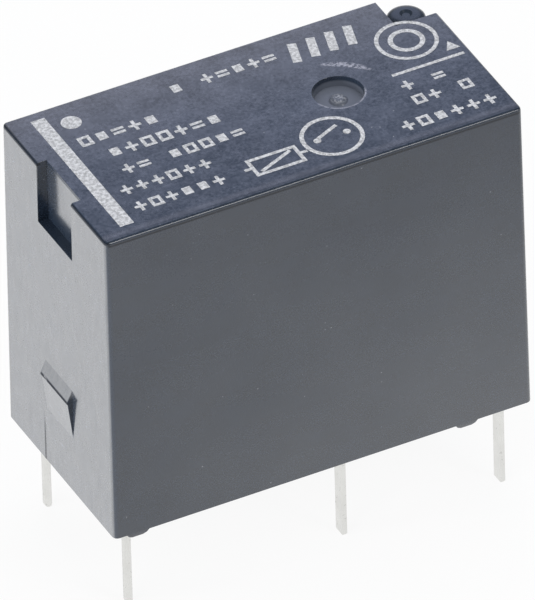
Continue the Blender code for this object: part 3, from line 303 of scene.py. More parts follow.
def gate_zones(graph, place, fine, on_top):
    """Masks of the gate recess: its floor, which a paler tone paints as lit, its torn middle, and the rubbed
    arc behind it with a painted highlight on its near edge.
    """
    x, y, z = graph.axes(place)
    off_x, off_y = x - GATE[0], y - GATE[1]
    from_gate = (off_x * off_x + off_y * off_y).root()
    floor = (1.0 - from_gate.over(GATE_REACH, 0.05 * MM)) * (1.0 - z.over(TOP - 0.2 * MM, 0.05 * MM))
    torn = (1.0 - from_gate.over(TORN_REACH, 0.05 * MM)) * floor * fine.over(0.52, 0.05)
    # Painted highlight along the near side of the recess's edge, broken up by the same streaks as the
    # scuffs.
    lip_highlight = from_gate.within(LIP_INNER, LIP_OUTER, 0.03 * MM) * (1.0 - off_y.over(-0.35 * MM, 0.15 * MM))
    far_side = (off_x * 0.61 + off_y * 0.79).over(1.76 * MM, 0.08 * MM)
    rub_lines = graph.noise(graph.stretched(place, (0.4, 0.8, 1.0)), 0.1 * MM, 3.0, 0.7)
    arc = from_gate.within(ARC_INNER, ARC_OUTER, 0.06 * MM) * far_side * rub_lines.over(0.5, 0.07)
    rub_and_highlight = (arc + lip_highlight * rub_lines.over(0.42, 0.08) * 0.7) * on_top
    return floor, torn, rub_and_highlight


def front_edge_zones(y, z, on_top):
    """Masks of the front edge: two lines of painted shade along it, and a paler strip of painted highlight
    behind them.
    """
    # Painted shade: a dark line on the front face under the edge's rounding, and a fainter one on the top
    # behind it.
    under = z.within(TOP - 0.25 * MM, TOP - 0.15 * MM, 0.03 * MM)
    under = under * (1.0 - y.over(FRONT + 0.16 * MM, 0.03 * MM))
    upper = y.within(FRONT + 0.28 * MM, FRONT + 0.38 * MM, 0.03 * MM) * on_top
    # Painted highlight: the top is paler just behind the front edge.
    highlight_band = y.within(FRONT + 0.4 * MM, FRONT + 0.62 * MM, 0.2 * MM) * on_top
    return under + upper * 0.4, highlight_band


def case_finish(look):
    """Dark moulded plastic: glossy coil end, satin top and sides, grain, scuffs, dust and mould marks, with
    painted shade along the top edges and painted light on the top and in the gate recess.
    """
    made, graph = new_finish("case plastic")
    place = graph.place()
    x, y, z = graph.axes(place)
    haze = graph.noise(place, 5.0 * MM, 3.0)
    cloud = graph.noise(place, 1.6 * MM, 4.0, 0.6)
    flow = graph.noise(graph.stretched(place, (0.25, 1.0, 1.0)), 0.9 * MM, 4.0)
    grain = graph.noise(place, 0.07 * MM, 2.0)
    pits = graph.noise(place, 0.16 * MM, 1.0)
    fine = graph.noise(place, 0.1 * MM)
    scratches = graph.noise(graph.stretched(place, (1.0, 0.2, 1.0)), 0.11 * MM, 2.0, 0.7)

    on_top = z.over(TOP - 0.03 * MM, CRISP)
    on_end = 1.0 - x.over(BODY_LEFT + 0.05 * MM, 0.05 * MM)
    polish, rim_shade, by_bump = end_zones(x, y, z, on_top, on_end)
    gate_floor, torn, rub_and_highlight = gate_zones(graph, place, fine, on_top)
    painted_edge_shade, painted_edge_highlight = front_edge_zones(y, z, on_top)

    below_bump = z.within(RIM, RIM + 3.6 * MM, 0.5 * MM) * y.within(-1.6 * MM, 2.6 * MM, 0.5 * MM)
    scuffs = scratches.over(0.66, 0.03) * flow.over(0.5, 0.06) * on_end * below_bump
    crest = abs(x).over(CASE_HIGH.x - 0.045 * MM, 0.015 * MM) * scratches.over(0.36, 0.06)
    slit = (1.0 - abs(y - SLIT_MIDDLE).over(SLIT_HALF, 0.02 * MM)) * on_end
    slit = slit * (1.0 - z.over(SLIT_TOP, 0.8 * MM))
    specks = 1.0 - graph.cells(place, 0.42 * MM).over(0.07, 0.03)
    dust = specks * graph.noise(place, 1.1 * MM).over(0.6, 0.03)

    tone = graph.blend(cloud, look.plastic_colour, tuple(c * CLOUD_LIGHT for c in look.plastic_colour))
    behind = (y + 2.0 * MM) * (1.0 / MM)
    # Painted light: the top turns paler towards its back.
    painted_back_light = behind * behind * behind.over(0.0, 0.5) * on_top * 0.013
    tone = graph.blend(painted_back_light, tone, PAINTED_BACK_LIGHT_TONE)
    # Painted highlight: a paler strip on the top behind the front edge.
    tone = graph.blend(painted_edge_highlight * 0.7, tone, PAINTED_EDGE_HIGHLIGHT_TONE)
    # Painted light: the recess floor is paler, as if evenly lit.
    tone = graph.blend(gate_floor * 0.8, tone, PAINTED_GATE_LIGHT_TONE)
    # Real scuffs and the rubbed arc behind the recess, with the painted highlight on its near edge.
    tone = graph.blend(scuffs * 0.45 + rub_and_highlight * 0.9, tone, SCUFF_TONE)
    tone = graph.blend(dust * 0.6 + torn * 0.6, tone, DUST_TONE)
    # Dark lines: the slit and the worn crest of the bump are the part's own; the strip along the coil end's
    # top edge and the lines at the front edge are painted shade.
    dark = slit * 0.8 + crest * 0.8 + rim_shade * 0.7 + painted_edge_shade * 0.8
    tone = graph.blend(dark, tone, DARK_TONE)
    rough = look.plastic_roughness + (flow - 0.5) * 0.12 + (grain - 0.5) * 0.1 + (scuffs + gate_floor) * 0.2
    height = grain * 0.6 + pits * 0.4 + flow * 0.5 - slit * 2.0 - scuffs * 0.3 + torn * 2.0 - crest * 2.0

    smudge = graph.noise(place, 1.1 * MM, 4.0, 0.65)
    mottle = (pits + fine - 1.0) * 0.55 + (smudge - 0.5) * 0.6
    down_side = (TOP - z) * SIDE_RISE * (x * SIDE_GROWTH + 1.0) - x * SIDE_FALL - SIDE_START
    satin = look.skin_weight + (behind * 0.026 + mottle) * on_top + down_side * (1.0 - on_top)
    streaks = graph.noise(graph.stretched(place, (1.0, 1.0, 0.3)), 0.3 * MM, 3.0, 0.6)
    skin = (satin - (haze - 0.5) * 0.1) * (1.0 - polish) + polish * (0.8 + streaks * 0.4)
    worn = (dust + rub_and_highlight) * 0.4 + slit * 0.9 + crest * 0.9 + gate_floor * 0.5 + rim_shade * 0.7
    worn = worn + painted_edge_shade * 0.9 + by_bump * 0.5
    close_finish(graph, {
        "Base Color": tone,
        "Roughness": rough + crest * 0.5,
        "Normal": graph.relief(height, look.grain_depth),
        "Coat Weight": skin * (1.0 - worn),
        "Coat Roughness": 0.15,
        "Coat IOR": SKIN_IOR,
        "Sheen Weight": 0.15,
        "Sheen Roughness": 0.3,
    })
    return made


def plain_plastic(name, colour, roughness, grain_size, depth):
    """Moulded plastic with a clouded colour, fine grain and flow marks."""
    made, graph = new_finish(name)
    place = graph.place()
    cloud = graph.noise(place, 1.8 * MM, 3.0)
    grain = graph.noise(place, grain_size, 2.0)
    flow = graph.noise(graph.stretched(place, (1.0, 0.3, 1.0)), 0.7 * MM, 4.0)
    close_finish(graph, {
        "Base Color": graph.blend(cloud, colour, tuple(c * 1.18 for c in colour)),
        "Roughness": roughness + (flow - 0.5) * 0.2 + (grain - 0.5) * 0.08,
        "Normal": graph.relief(grain + flow * 0.6, depth),
    })
    return made


def resin_finish():
    """Poured sealing resin: glossy, with slow waves and a few trapped bubbles."""
    made, graph = new_finish("sealing resin")
    place = graph.place()
    waves = graph.noise(place, 2.2 * MM, 2.0)
    bubbles = 1.0 - graph.cells(place, 0.9 * MM).over(0.12, 0.05)
    close_finish(graph, {
        "Base Color": graph.blend(waves, (0.022, 0.022, 0.024), (0.045, 0.044, 0.044)),
        "Roughness": 0.2 + waves * 0.12 + bubbles * 0.2,
        "Normal": graph.relief(waves * 3.0 - bubbles * 0.8, 0.02 * MM),
        "Coat Weight": 0.6 - bubbles * 0.4,
        "Coat Roughness": 0.1,
    })
    return made


def metal_finish(name, colour, tarnish, roughness, run):
    """Rolled, drawn or plated metal: lines along its run, soft tarnish and small dents."""
    made, graph = new_finish(name)
    place = graph.place()
    lines = graph.noise(graph.stretched(place, run), 0.035 * MM, 3.0, 0.6)
    cloud = graph.noise(place, 0.8 * MM, 3.0)
    dents = graph.noise(place, 0.22 * MM, 2.0)
    spots = graph.noise(place, 0.12 * MM, 2.0).over(0.68, 0.04)
    tone = graph.blend(cloud * 0.6 + lines * 0.25, colour, tarnish)
    close_finish(graph, {
        "Base Color": graph.blend(spots * 0.35, tone, tuple(c * 0.6 for c in tarnish)),
        "Metallic": 1.0,
        "Roughness": roughness + (lines - 0.5) * 0.16 + (cloud - 0.5) * 0.14 + spots * 0.1,
        "Normal": graph.relief(lines * 0.7 + dents * 0.6, 0.003 * MM),
    })
    return made


def wire_finish(colour):
    """Enamelled copper wire: clear coat over metal, darker where the enamel is thick."""
    made, graph = new_finish("enamelled copper")
    place = graph.place()
    cloud = graph.noise(place, 0.6 * MM, 3.0)
    drops = graph.noise(place, 0.09 * MM, 2.0)
    close_finish(graph, {
        "Base Color": graph.blend(cloud, colour, tuple(c * 0.6 for c in colour)),
        "Metallic": 1.0,
        "Roughness": 0.28 + cloud * 0.14,
        "Normal": graph.relief(drops, 0.002 * MM),
        "Coat Weight": 0.7 + drops * 0.3,
        "Coat Roughness": 0.12,
    })
    return made


def tape_finish():
    """Film tape round the coil: glossy, with wrinkles along it and a clouded colour."""
    made, graph = new_finish("coil tape")
    place = graph.place()
    wrinkles = graph.noise(graph.stretched(place, (0.4, 0.4, 1.6)), 0.5 * MM, 3.0)
    cloud = graph.noise(place, 1.4 * MM, 2.0)
    close_finish(graph, {
        "Base Color": graph.blend(cloud, (0.68, 0.46, 0.07), (0.8, 0.6, 0.16)),
        "Roughness": 0.26 + wrinkles * 0.22,
        "Normal": graph.relief(wrinkles, 0.02 * MM),
        "Coat Weight": 0.5 + cloud * 0.3,
        "Coat Roughness": 0.15,
    })
    return made


def ink_finish(look):
    """White printed ink, thin enough that the plastic shows through in specks."""
    made, graph = new_finish("print ink")
    place = graph.place()
    specks = graph.noise(place, 0.08 * MM, 3.0, 0.7)
    patches = graph.noise(place, 0.5 * MM, 2.0)
    mottle = graph.noise(place, 0.15 * MM, 3.0, 0.6)
    bare = (specks + (patches - 0.5) * 0.3).over(0.66, 0.06)
    thin, thick = (tuple(c * share for c in look.ink_colour) for share in (INK_THIN, INK_THICK))
    tone = graph.blend(mottle.over(0.5, 0.14), thin, thick)
    close_finish(graph, {
        "Base Color": graph.blend(bare * 0.55, tone, look.plastic_colour),
        "Roughness": 0.55 + (specks - 0.5) * 0.3,
        "Normal": graph.relief(specks - bare, 0.006 * MM),
    })
    return made


def floor_finish(studio):
    """Pale floor that shows white to the camera and to gloss, and keeps the part's shadow."""
    made, graph = new_finish("studio floor")
    place = graph.place()
    cloud = graph.noise(place, 60.0 * MM, 2.0)
    tone = graph.blend(cloud, studio.floor_colour, tuple(c * 0.99 for c in studio.floor_colour))
    matt = graph.node("ShaderNodeBsdfDiffuse", None, {"Color": tone, "Roughness": 0.5})
    glow = graph.node("ShaderNodeEmission", None, {"Color": (1.0, 1.0, 1.0), "Strength": 1.0})
    rays = graph.node("ShaderNodeLightPath").socket.node.outputs
    kinds = ("Camera", "Glossy", "Transmission")
    lens, gloss, clear = (Shade(graph, rays[f"Is {kind} Ray"]) for kind in kinds)
    share = lens * studio.floor_glow + (gloss + clear).over(0.5, 0.1)
    mixed = graph.node("ShaderNodeMixShader", None, {0: share, 1: matt, 2: glow})
    graph.node("ShaderNodeOutputMaterial", None, {"Surface": mixed})
    return made


def dress(name, finish):
    """Give a part's own node its finish."""
    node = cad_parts[name]
    node.data.materials.clear()
    node.data.materials.append(finish)


def new_piece(name, mesh, body, finish):
    """Put a made mesh in the scene as a piece that rides a body."""
    piece = bpy.data.objects.new(name, mesh)
    bpy.context.scene.collection.objects.link(piece)
    mesh.materials.clear()
    mesh.materials.append(finish)
    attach(piece, body)
    return piece


def smooth_by_angle(mesh, angle):
    """Shade a mesh smooth, apart from the edges sharper than an angle."""
    mesh.shade_smooth()
    mesh.set_sharp_from_angle(angle=angle)


def softened_copy(node, reshape, roundings):
    """A merged copy of a part's node, reshaped and with its outer edges rounded, worked in millimetres.

    Each rounding is a test on an edge and a radius, and they are made in their order.
    """
    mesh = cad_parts[node].data.copy()
    shape = bmesh.new()
    shape.from_mesh(mesh)
    bmesh.ops.scale(shape, vec=(1.0 / MM,) * 3, verts=shape.verts)
    bmesh.ops.remove_doubles(shape, verts=shape.verts, dist=MERGED)
    bmesh.ops.dissolve_limit(shape, angle_limit=FLAT, verts=shape.verts, edges=shape.edges)
    reshape(shape)
    for face in shape.faces:
        bends = [edge.calc_face_angle(0.0) for edge in face.edges]
        breadth = 2.0 * face.calc_area() / face.calc_perimeter()
        face.smooth = (breadth < STRIP_BREADTH / MM and min(bends) > LEVEL
                       and any(bend < CURVED for bend in bends))
    for wanted, radius in roundings:
        round_off(shape, [edge for edge in outer_edges(shape) if wanted(edge)], radius / MM)
    bmesh.ops.triangulate(shape, faces=[face for face in shape.faces if len(face.verts) > 4])
    bmesh.ops.scale(shape, vec=(MM,) * 3, verts=shape.verts)
    shape.to_mesh(mesh)
    shape.free()
    lean_normals(mesh)
    return mesh


def above(edge, level):
    """True for an edge that nowhere dips below a level."""
    return min(vertex.co.z for vertex in edge.verts) > level / MM - SAME


def draw_out_feet(shape, half_crown):
    """Draw the small rounding at each end of the case's feet out into a quarter of an ellipse.

    The feet's outer sides also come out, almost to the case's wall.
    """
    edge = FOOT_EDGE / MM
    for vertex in shape.verts:
        rise = vertex.co.z - SEAT / MM
        rounded = rise < edge + SAME
        inward = FOOT_SIDE / MM - abs(vertex.co.y)
        reach = edge if rounded else 0.0
        if rise < (RIM - SEAT) / MM + SAME and -SAME < inward < reach + SAME:
            vertex.co.y = math.copysign((FOOT_SIDE + FOOT_PUSH) / MM - inward, vertex.co.y)
        if rounded:
            middle = min(FOOT_MIDDLES, key=lambda x: abs(vertex.co.x - x / MM)) / MM
            side = vertex.co.x - middle
            share = (abs(side) - (FOOT_HALF - FOOT_EDGE) / MM) / edge
            length = (half_crown + share * (FOOT_HALF - half_crown)) / MM
            vertex.co.x = middle + math.copysign(length, side)
            vertex.co.z = SEAT / MM + rise * FOOT_FALL / FOOT_EDGE


def in_gate(edge):
    """True for an edge of the nub in the gate recess."""
    return all(math.hypot(vertex.co.x - GATE[0] / MM, vertex.co.y - GATE[1] / MM) < NUB_REACH / MM
               for vertex in edge.verts)


def outer_edges(shape):
    """The edges where two faces meet at a sharp outer corner."""
    return [edge for edge in shape.edges if edge.is_manifold and edge.is_convex
            and edge.calc_face_angle() > SHARP]


def round_off(shape, edges, width):
    """Round a set of edges, each in a few steps."""
    made = bmesh.ops.bevel(shape, geom=edges, offset=width, offset_type="OFFSET", segments=ROUNDING_STEPS,
                           profile=0.5, affect="EDGES", clamp_overlap=True, loop_slide=True)
    for face in made["faces"]:
        face.smooth = True


def lean_normals(mesh):
    """Keep flat faces flat, and let the roundings between them run into them without a step."""
    around = [[] for vertex in mesh.vertices]
    for face in mesh.polygons:
        for vertex in face.vertices:
            around[vertex].append(face)
    reach = math.cos(CURVED)
    normals = []
    for face in mesh.polygons:
        for vertex in face.vertices:
            near = [other for other in around[vertex] if other.normal.dot(face.normal) > reach]
            flat = [other for other in near if not other.use_smooth]
            if not face.use_smooth:
                near = [face]
            elif flat:
                near = [max(flat, key=lambda other: other.normal.dot(face.normal))]
            normals.append(sum((other.normal * other.area for other in near), Vector()).normalized())
    mesh.normals_split_custom_set(normals)


def new_tree(name, inputs):
    """An empty shape tree with named inputs, its graph and the inputs' sockets."""
    tree = bpy.data.node_groups.new(name, "GeometryNodeTree")
    tree.interface.new_socket("Geometry", in_out="OUTPUT", socket_type="NodeSocketGeometry")
    for label, kind in inputs.items():
        tree.interface.new_socket(label, in_out="INPUT", socket_type="NodeSocket" + kind)
    graph = Graph(tree)
    outputs = tree.nodes.new("NodeGroupInput").outputs
    return graph, {label: Shade(graph, outputs[label]) for label in inputs}


def close_tree(graph, shape):
    """Realize the instances, set the material and end the tree."""
    real = graph.node("GeometryNodeRealizeInstances", None, {0: shape})
    given = [node for node in graph.tree.nodes if node.bl_idname == "NodeGroupInput"][0]
    finish = Shade(graph, given.outputs["Finish"])
    coated = graph.node("GeometryNodeSetMaterial", None, {"Geometry": real, "Material": finish})
    end = graph.tree.nodes.new("NodeGroupOutput")
    graph.tree.links.new(coated.socket, end.inputs["Geometry"])
    return graph.tree


def grown(name, tree, values):
    """The plain mesh that a tree gives for a set of values."""
    carrier = bpy.data.objects.new(name, bpy.data.meshes.new(name))
    bpy.context.scene.collection.objects.link(carrier)
    modifier = carrier.modifiers.new(name, "NODES")
    modifier.node_group = tree
    for item in tree.interface.items_tree:
        if item.in_out == "INPUT":
            modifier[item.identifier] = values[item.name]
    bpy.context.view_layer.update()
    shaped = carrier.evaluated_get(bpy.context.evaluated_depsgraph_get())
    mesh = bpy.data.meshes.new_from_object(shaped)
    carrier.modifiers.clear()
    bpy.data.objects.remove(carrier)
    return mesh


def turns_tree():
    """Rings of wire stacked up a coil."""
    graph, given = new_tree("coil turns", {
        "Turns": "Int", "Wire Radius": "Float", "Coil Radius": "Float", "Start": "Vector", "Step": "Vector",
        "Finish": "Material"})
    ring = graph.node("GeometryNodeCurvePrimitiveCircle", {"mode": "RADIUS"},
                      {"Resolution": 48, "Radius": given["Coil Radius"]})
    wire = graph.node("GeometryNodeCurvePrimitiveCircle", {"mode": "RADIUS"},
                      {"Resolution": 6, "Radius": given["Wire Radius"]})
    turn = graph.node("GeometryNodeCurveToMesh", None, {"Curve": ring, "Profile Curve": wire})
    stack = graph.node("GeometryNodeMeshLine", {"mode": "OFFSET"},
                       {"Count": given["Turns"], "Start Location": given["Start"], "Offset": given["Step"]})
    turns = graph.node("GeometryNodeInstanceOnPoints", None, {"Points": stack, "Instance": turn})
    return close_tree(graph, turns)


def signs_tree():
    """A printed row of simple signs, in place of words: squares, crosses, dashes and blocks."""
    graph, given = new_tree("printed signs", {
        "Count": "Int", "Start": "Vector", "Step": "Vector", "Scale": "Float", "Seed": "Int",
        "Finish": "Material"})
    half_x, half_y = SIGN_WIDTH / 2.0, SIGN_HEIGHT / 2.0
    side = (SIGN_STROKE, SIGN_HEIGHT + SIGN_STROKE, PRINT_DEPTH)
    rung = (SIGN_WIDTH - SIGN_STROKE, SIGN_STROKE, PRINT_DEPTH)
    across = (SIGN_WIDTH + SIGN_STROKE, SIGN_STROKE, PRINT_DEPTH)
    arm_y = (SIGN_HEIGHT + SIGN_STROKE) / 4.0
    arm = (SIGN_STROKE, 2.0 * arm_y - SIGN_STROKE / 2.0, PRINT_DEPTH)
    square = [(side, -half_x, 0.0), (side, half_x, 0.0), (rung, 0.0, -half_y), (rung, 0.0, half_y)]
    arm_middle = arm_y + SIGN_STROKE / 4.0
    cross = [(across, 0.0, 0.0), (arm, 0.0, arm_middle), (arm, 0.0, -arm_middle)]
    dashes = [(across, 0.0, -half_y / 2.0), (across, 0.0, half_y / 2.0)]
    block = [((SIGN_WIDTH, SIGN_HEIGHT, PRINT_DEPTH), 0.0, 0.0)]
    signs = graph.tree.nodes.new("GeometryNodeJoinGeometry")
    for bars in (square, cross, dashes, block):
        sign = graph.tree.nodes.new("GeometryNodeJoinGeometry")
        for size, x, y in bars:
            bar = graph.node("GeometryNodeMeshCube", None, {"Size": size})
            moved = graph.node("GeometryNodeTransform", None, {"Geometry": bar, "Translation": (x, y, 0.0)})
            graph.tree.links.new(moved.socket, sign.inputs[0])
        one = graph.node("GeometryNodeGeometryToInstance", None, {0: Shade(graph, sign.outputs[0])})
        graph.tree.links.new(one.socket, signs.inputs[0])
    points = graph.node("GeometryNodeMeshLine", {"mode": "OFFSET"},
                        {"Count": given["Count"], "Start Location": given["Start"], "Offset": given["Step"]})
    choice = graph.node("FunctionNodeRandomValue", {"data_type": "INT"},
                        {4: 0, 5: 3, "Seed": given["Seed"]}, out=2)
    kept = graph.node("FunctionNodeRandomValue", {"data_type": "BOOLEAN"},
                      {"Probability": SIGN_SHARE, "Seed": given["Seed"]}, out=3)
    row = graph.node("GeometryNodeInstanceOnPoints", None,
                     {"Points": points, "Instance": Shade(graph, signs.outputs[0]), "Selection": kept,
                      "Pick Instance": True, "Instance Index": choice, "Scale": given["Scale"]})
    return close_tree(graph, row)


def slab(shape, outline, low, high):
    """Add a flat slab with a given outline, anticlockwise from above."""
    lower = [shape.verts.new((x, y, low)) for x, y in outline]
    upper = [shape.verts.new((x, y, high)) for x, y in outline]
    shape.faces.new(upper)
    shape.faces.new(list(reversed(lower)))
    count = len(outline)
    for index in range(count):
        after = (index + 1) % count
        shape.faces.new((lower[index], lower[after], upper[after], upper[index]))


def ring(shape, centre, outer, inner, low, high, steps=48):
    """Add a flat ring."""
    loops = []
    for radius, level in ((outer, low), (outer, high), (inner, high), (inner, low)):
        loop = []
        for step in range(steps):
            angle = 2.0 * math.pi * step / steps
            loop.append(shape.verts.new((centre[0] + radius * math.cos(angle),
                                         centre[1] + radius * math.sin(angle), level)))
        loops.append(loop)
    for index in range(4):
        here, there = loops[index], loops[(index + 1) % 4]
        for step in range(steps):
            after = (step + 1) % steps
            shape.faces.new((here[step], here[after], there[after], there[step]))


def stroke(shape, start, end, width, low, high):
    """Add a straight printed line between two points."""
    start, end = Vector(start), Vector(end)
    side = Vector((-(end - start).y, (end - start).x)).normalized() * width / 2.0
    outline = [start - side, end - side, end + side, start + side]
    slab(shape, [(point.x, point.y) for point in outline], low, high)


def disc_outline(centre, radius, steps=32):
    """The points of a circle, anticlockwise from above."""
    return [(centre[0] + radius * math.cos(2.0 * math.pi * step / steps),
             centre[1] + radius * math.sin(2.0 * math.pi * step / steps)) for step in range(steps)]


def rounded_outline(middle, half_x, half_y, corner, steps=4):
    """The points of a rectangle with round corners, anticlockwise from above."""
    points = []
    for quarter, (side_x, side_y) in enumerate(((1, 1), (-1, 1), (-1, -1), (1, -1))):
        for step in range(steps + 1):
            angle = (quarter + step / steps) * math.pi / 2.0
            points.append((middle.x + side_x * (half_x - corner) + corner * math.cos(angle),
                           middle.y + side_y * (half_y - corner) + corner * math.sin(angle)))
    return points


def domed_bar(name, low, high, corner, steps=4):
    """An upright bar with round edges and a domed lower tip, within a box."""
    middle, half = (low + high) / 2.0, (high - low) / 2.0
    dome = corner - 0.005 * MM
    levels = [(high.z, 0.0)]
    for step in range(steps + 1):
        angle = step / steps * math.pi / 2.0
        levels.append((low.z + dome * (1.0 - math.sin(angle)), dome * (1.0 - math.cos(angle))))
    shape = bmesh.new()
    loops = []
    for level, inset in levels:
        outline = rounded_outline(middle, half.x - inset, half.y - inset, corner - inset)
        loops.append([shape.verts.new((x, y, level)) for x, y in outline])
    shape.faces.new(loops[0])
    shape.faces.new(list(reversed(loops[-1])))
    for upper, lower in zip(loops, loops[1:]):
        for index in range(len(upper)):
            after = (index + 1) % len(upper)
            shape.faces.new((lower[index], lower[after], upper[after], upper[index]))
    mesh = bpy.data.meshes.new(name)
    shape.to_mesh(mesh)
    shape.free()
    smooth_by_angle(mesh, CREASE)
    return mesh


class RelayCaseLook(bpy.types.PropertyGroup):
    """The case's plastic, its edges and feet, its print, and the coil pins' edges."""

    plastic_colour: bpy.props.FloatVectorProperty(
        name="Plastic colour", description="Colour of the case's plastic", subtype="COLOR",
        default=(0.014, 0.022, 0.037), min=0.0, max=1.0)
    plastic_roughness: bpy.props.FloatProperty(
        name="Plastic roughness", description="Roughness of the plastic below its skin",
        default=0.28, min=0.0, max=1.0, subtype="FACTOR")
    skin_weight: bpy.props.FloatProperty(
        name="Skin weight", description="Gloss of the skin on the case's top and sides",
        default=0.215, min=0.0, max=1.0, subtype="FACTOR")
    grain_depth: bpy.props.FloatProperty(
        name="Grain depth", description="Depth of the moulded grain", default=0.008 * MM, unit="LENGTH",
        precision=6)
    rim_round: bpy.props.FloatProperty(
        name="Rim rounding", description="Radius of the edges round the case's top", default=0.17 * MM,
        unit="LENGTH", precision=6)
    edge_round: bpy.props.FloatProperty(
        name="Edge rounding", description="Radius of the case's other edges", default=0.03 * MM,
        unit="LENGTH", precision=6)
    foot_crown: bpy.props.FloatProperty(
        name="Foot crown", description="Length of the flat crown under each foot", default=0.2 * MM,
        unit="LENGTH", precision=6)
    pin_round: bpy.props.FloatProperty(
        name="Pin tip rounding", description="Radius of the coil pins' tips and long edges",
        default=0.14 * MM, unit="LENGTH", precision=6)
    nub_round: bpy.props.FloatProperty(
        name="Nub rounding", description="Radius of the torn nub in the gate recess", default=0.18 * MM,
        unit="LENGTH", precision=6)
    ink_colour: bpy.props.FloatVectorProperty(
        name="Ink colour", description="Colour of the print", subtype="COLOR",
        default=(0.64, 0.64, 0.65), min=0.0, max=1.0)
    ink_height: bpy.props.FloatProperty(
        name="Ink height", description="How far the print stands proud", default=0.008 * MM, unit="LENGTH",
        precision=6)


class RelayCoilLook(bpy.types.PropertyGroup):
    """The coil's wire."""

    wire_diameter: bpy.props.FloatProperty(
        name="Wire diameter", description="Diameter of the coil's wire over its enamel",
        default=0.14 * MM, unit="LENGTH", precision=6)
    wire_colour: bpy.props.FloatVectorProperty(
        name="Wire colour", description="Colour of the enamelled wire", subtype="COLOR",
        default=(0.56, 0.2, 0.075), min=0.0, max=1.0)


class RelayStudio(bpy.types.PropertyGroup):
    """Floor and light."""

    floor_colour: bpy.props.FloatVectorProperty(
        name="Floor colour", description="Colour of the floor", subtype="COLOR",
        default=(0.93, 0.93, 0.93), min=0.0, max=1.0)
    floor_glow: bpy.props.FloatProperty(
        name="Floor glow", description="Share of plain white in the floor that the camera sees",
        default=0.92, min=0.0, max=1.0, subtype="FACTOR")
    key_power: bpy.props.FloatProperty(
        name="Key power", description="Power of the soft light from the left", default=1.0, unit="POWER")
    fill_power: bpy.props.FloatProperty(
        name="Fill power", description="Power of the soft light from above", default=1.4, unit="POWER")
    end_power: bpy.props.FloatProperty(
        name="End power", description="Power of the soft light that faces the coil end", default=5.0,
        unit="POWER")
    strip_power: bpy.props.FloatProperty(
        name="Strip power", description="Power of the small light that draws a line along the front edge",
        default=0.55, unit="POWER")
    panel_power: bpy.props.FloatProperty(
        name="Panel power", description="Power of the dim panel that the case's top mirrors", default=0.45,
        unit="POWER")
    panel_colour: bpy.props.FloatVectorProperty(
        name="Panel colour", description="Colour of the dim panel", subtype="COLOR",
        default=(0.64, 0.7, 1.0), min=0.0, max=1.0)
    sky_colour: bpy.props.FloatVectorProperty(
        name="Room colour", description="Colour of the light from all round", subtype="COLOR",
        default=(0.86, 0.93, 1.0), min=0.0, max=1.0)
    sky_strength: bpy.props.FloatProperty(
        name="Room light", description="Strength of the light from all round", default=0.2, min=0.0)


class RELAY_OT_case_shell(bpy.types.Operator):
    """Make the case's smooth shell with its small edges rounded, in dark moulded plastic"""

    bl_idname = "relay.case_shell"
    bl_label = "Case shell"

    def execute(self, context):
        look = context.scene.relay_case
        mesh = softened_copy("cover", lambda shape: draw_out_feet(shape, look.foot_crown / 2.0), (
            (lambda edge: above(edge, TOP), look.rim_round),
            (in_gate, look.nub_round),
            (lambda edge: edge.calc_length() > 3.0 * look.edge_round / MM, look.edge_round),
        ))
        shell = new_piece("case_shell", mesh, "frame", case_finish(look))
        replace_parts(shell, "cover")
        return {"FINISHED"}


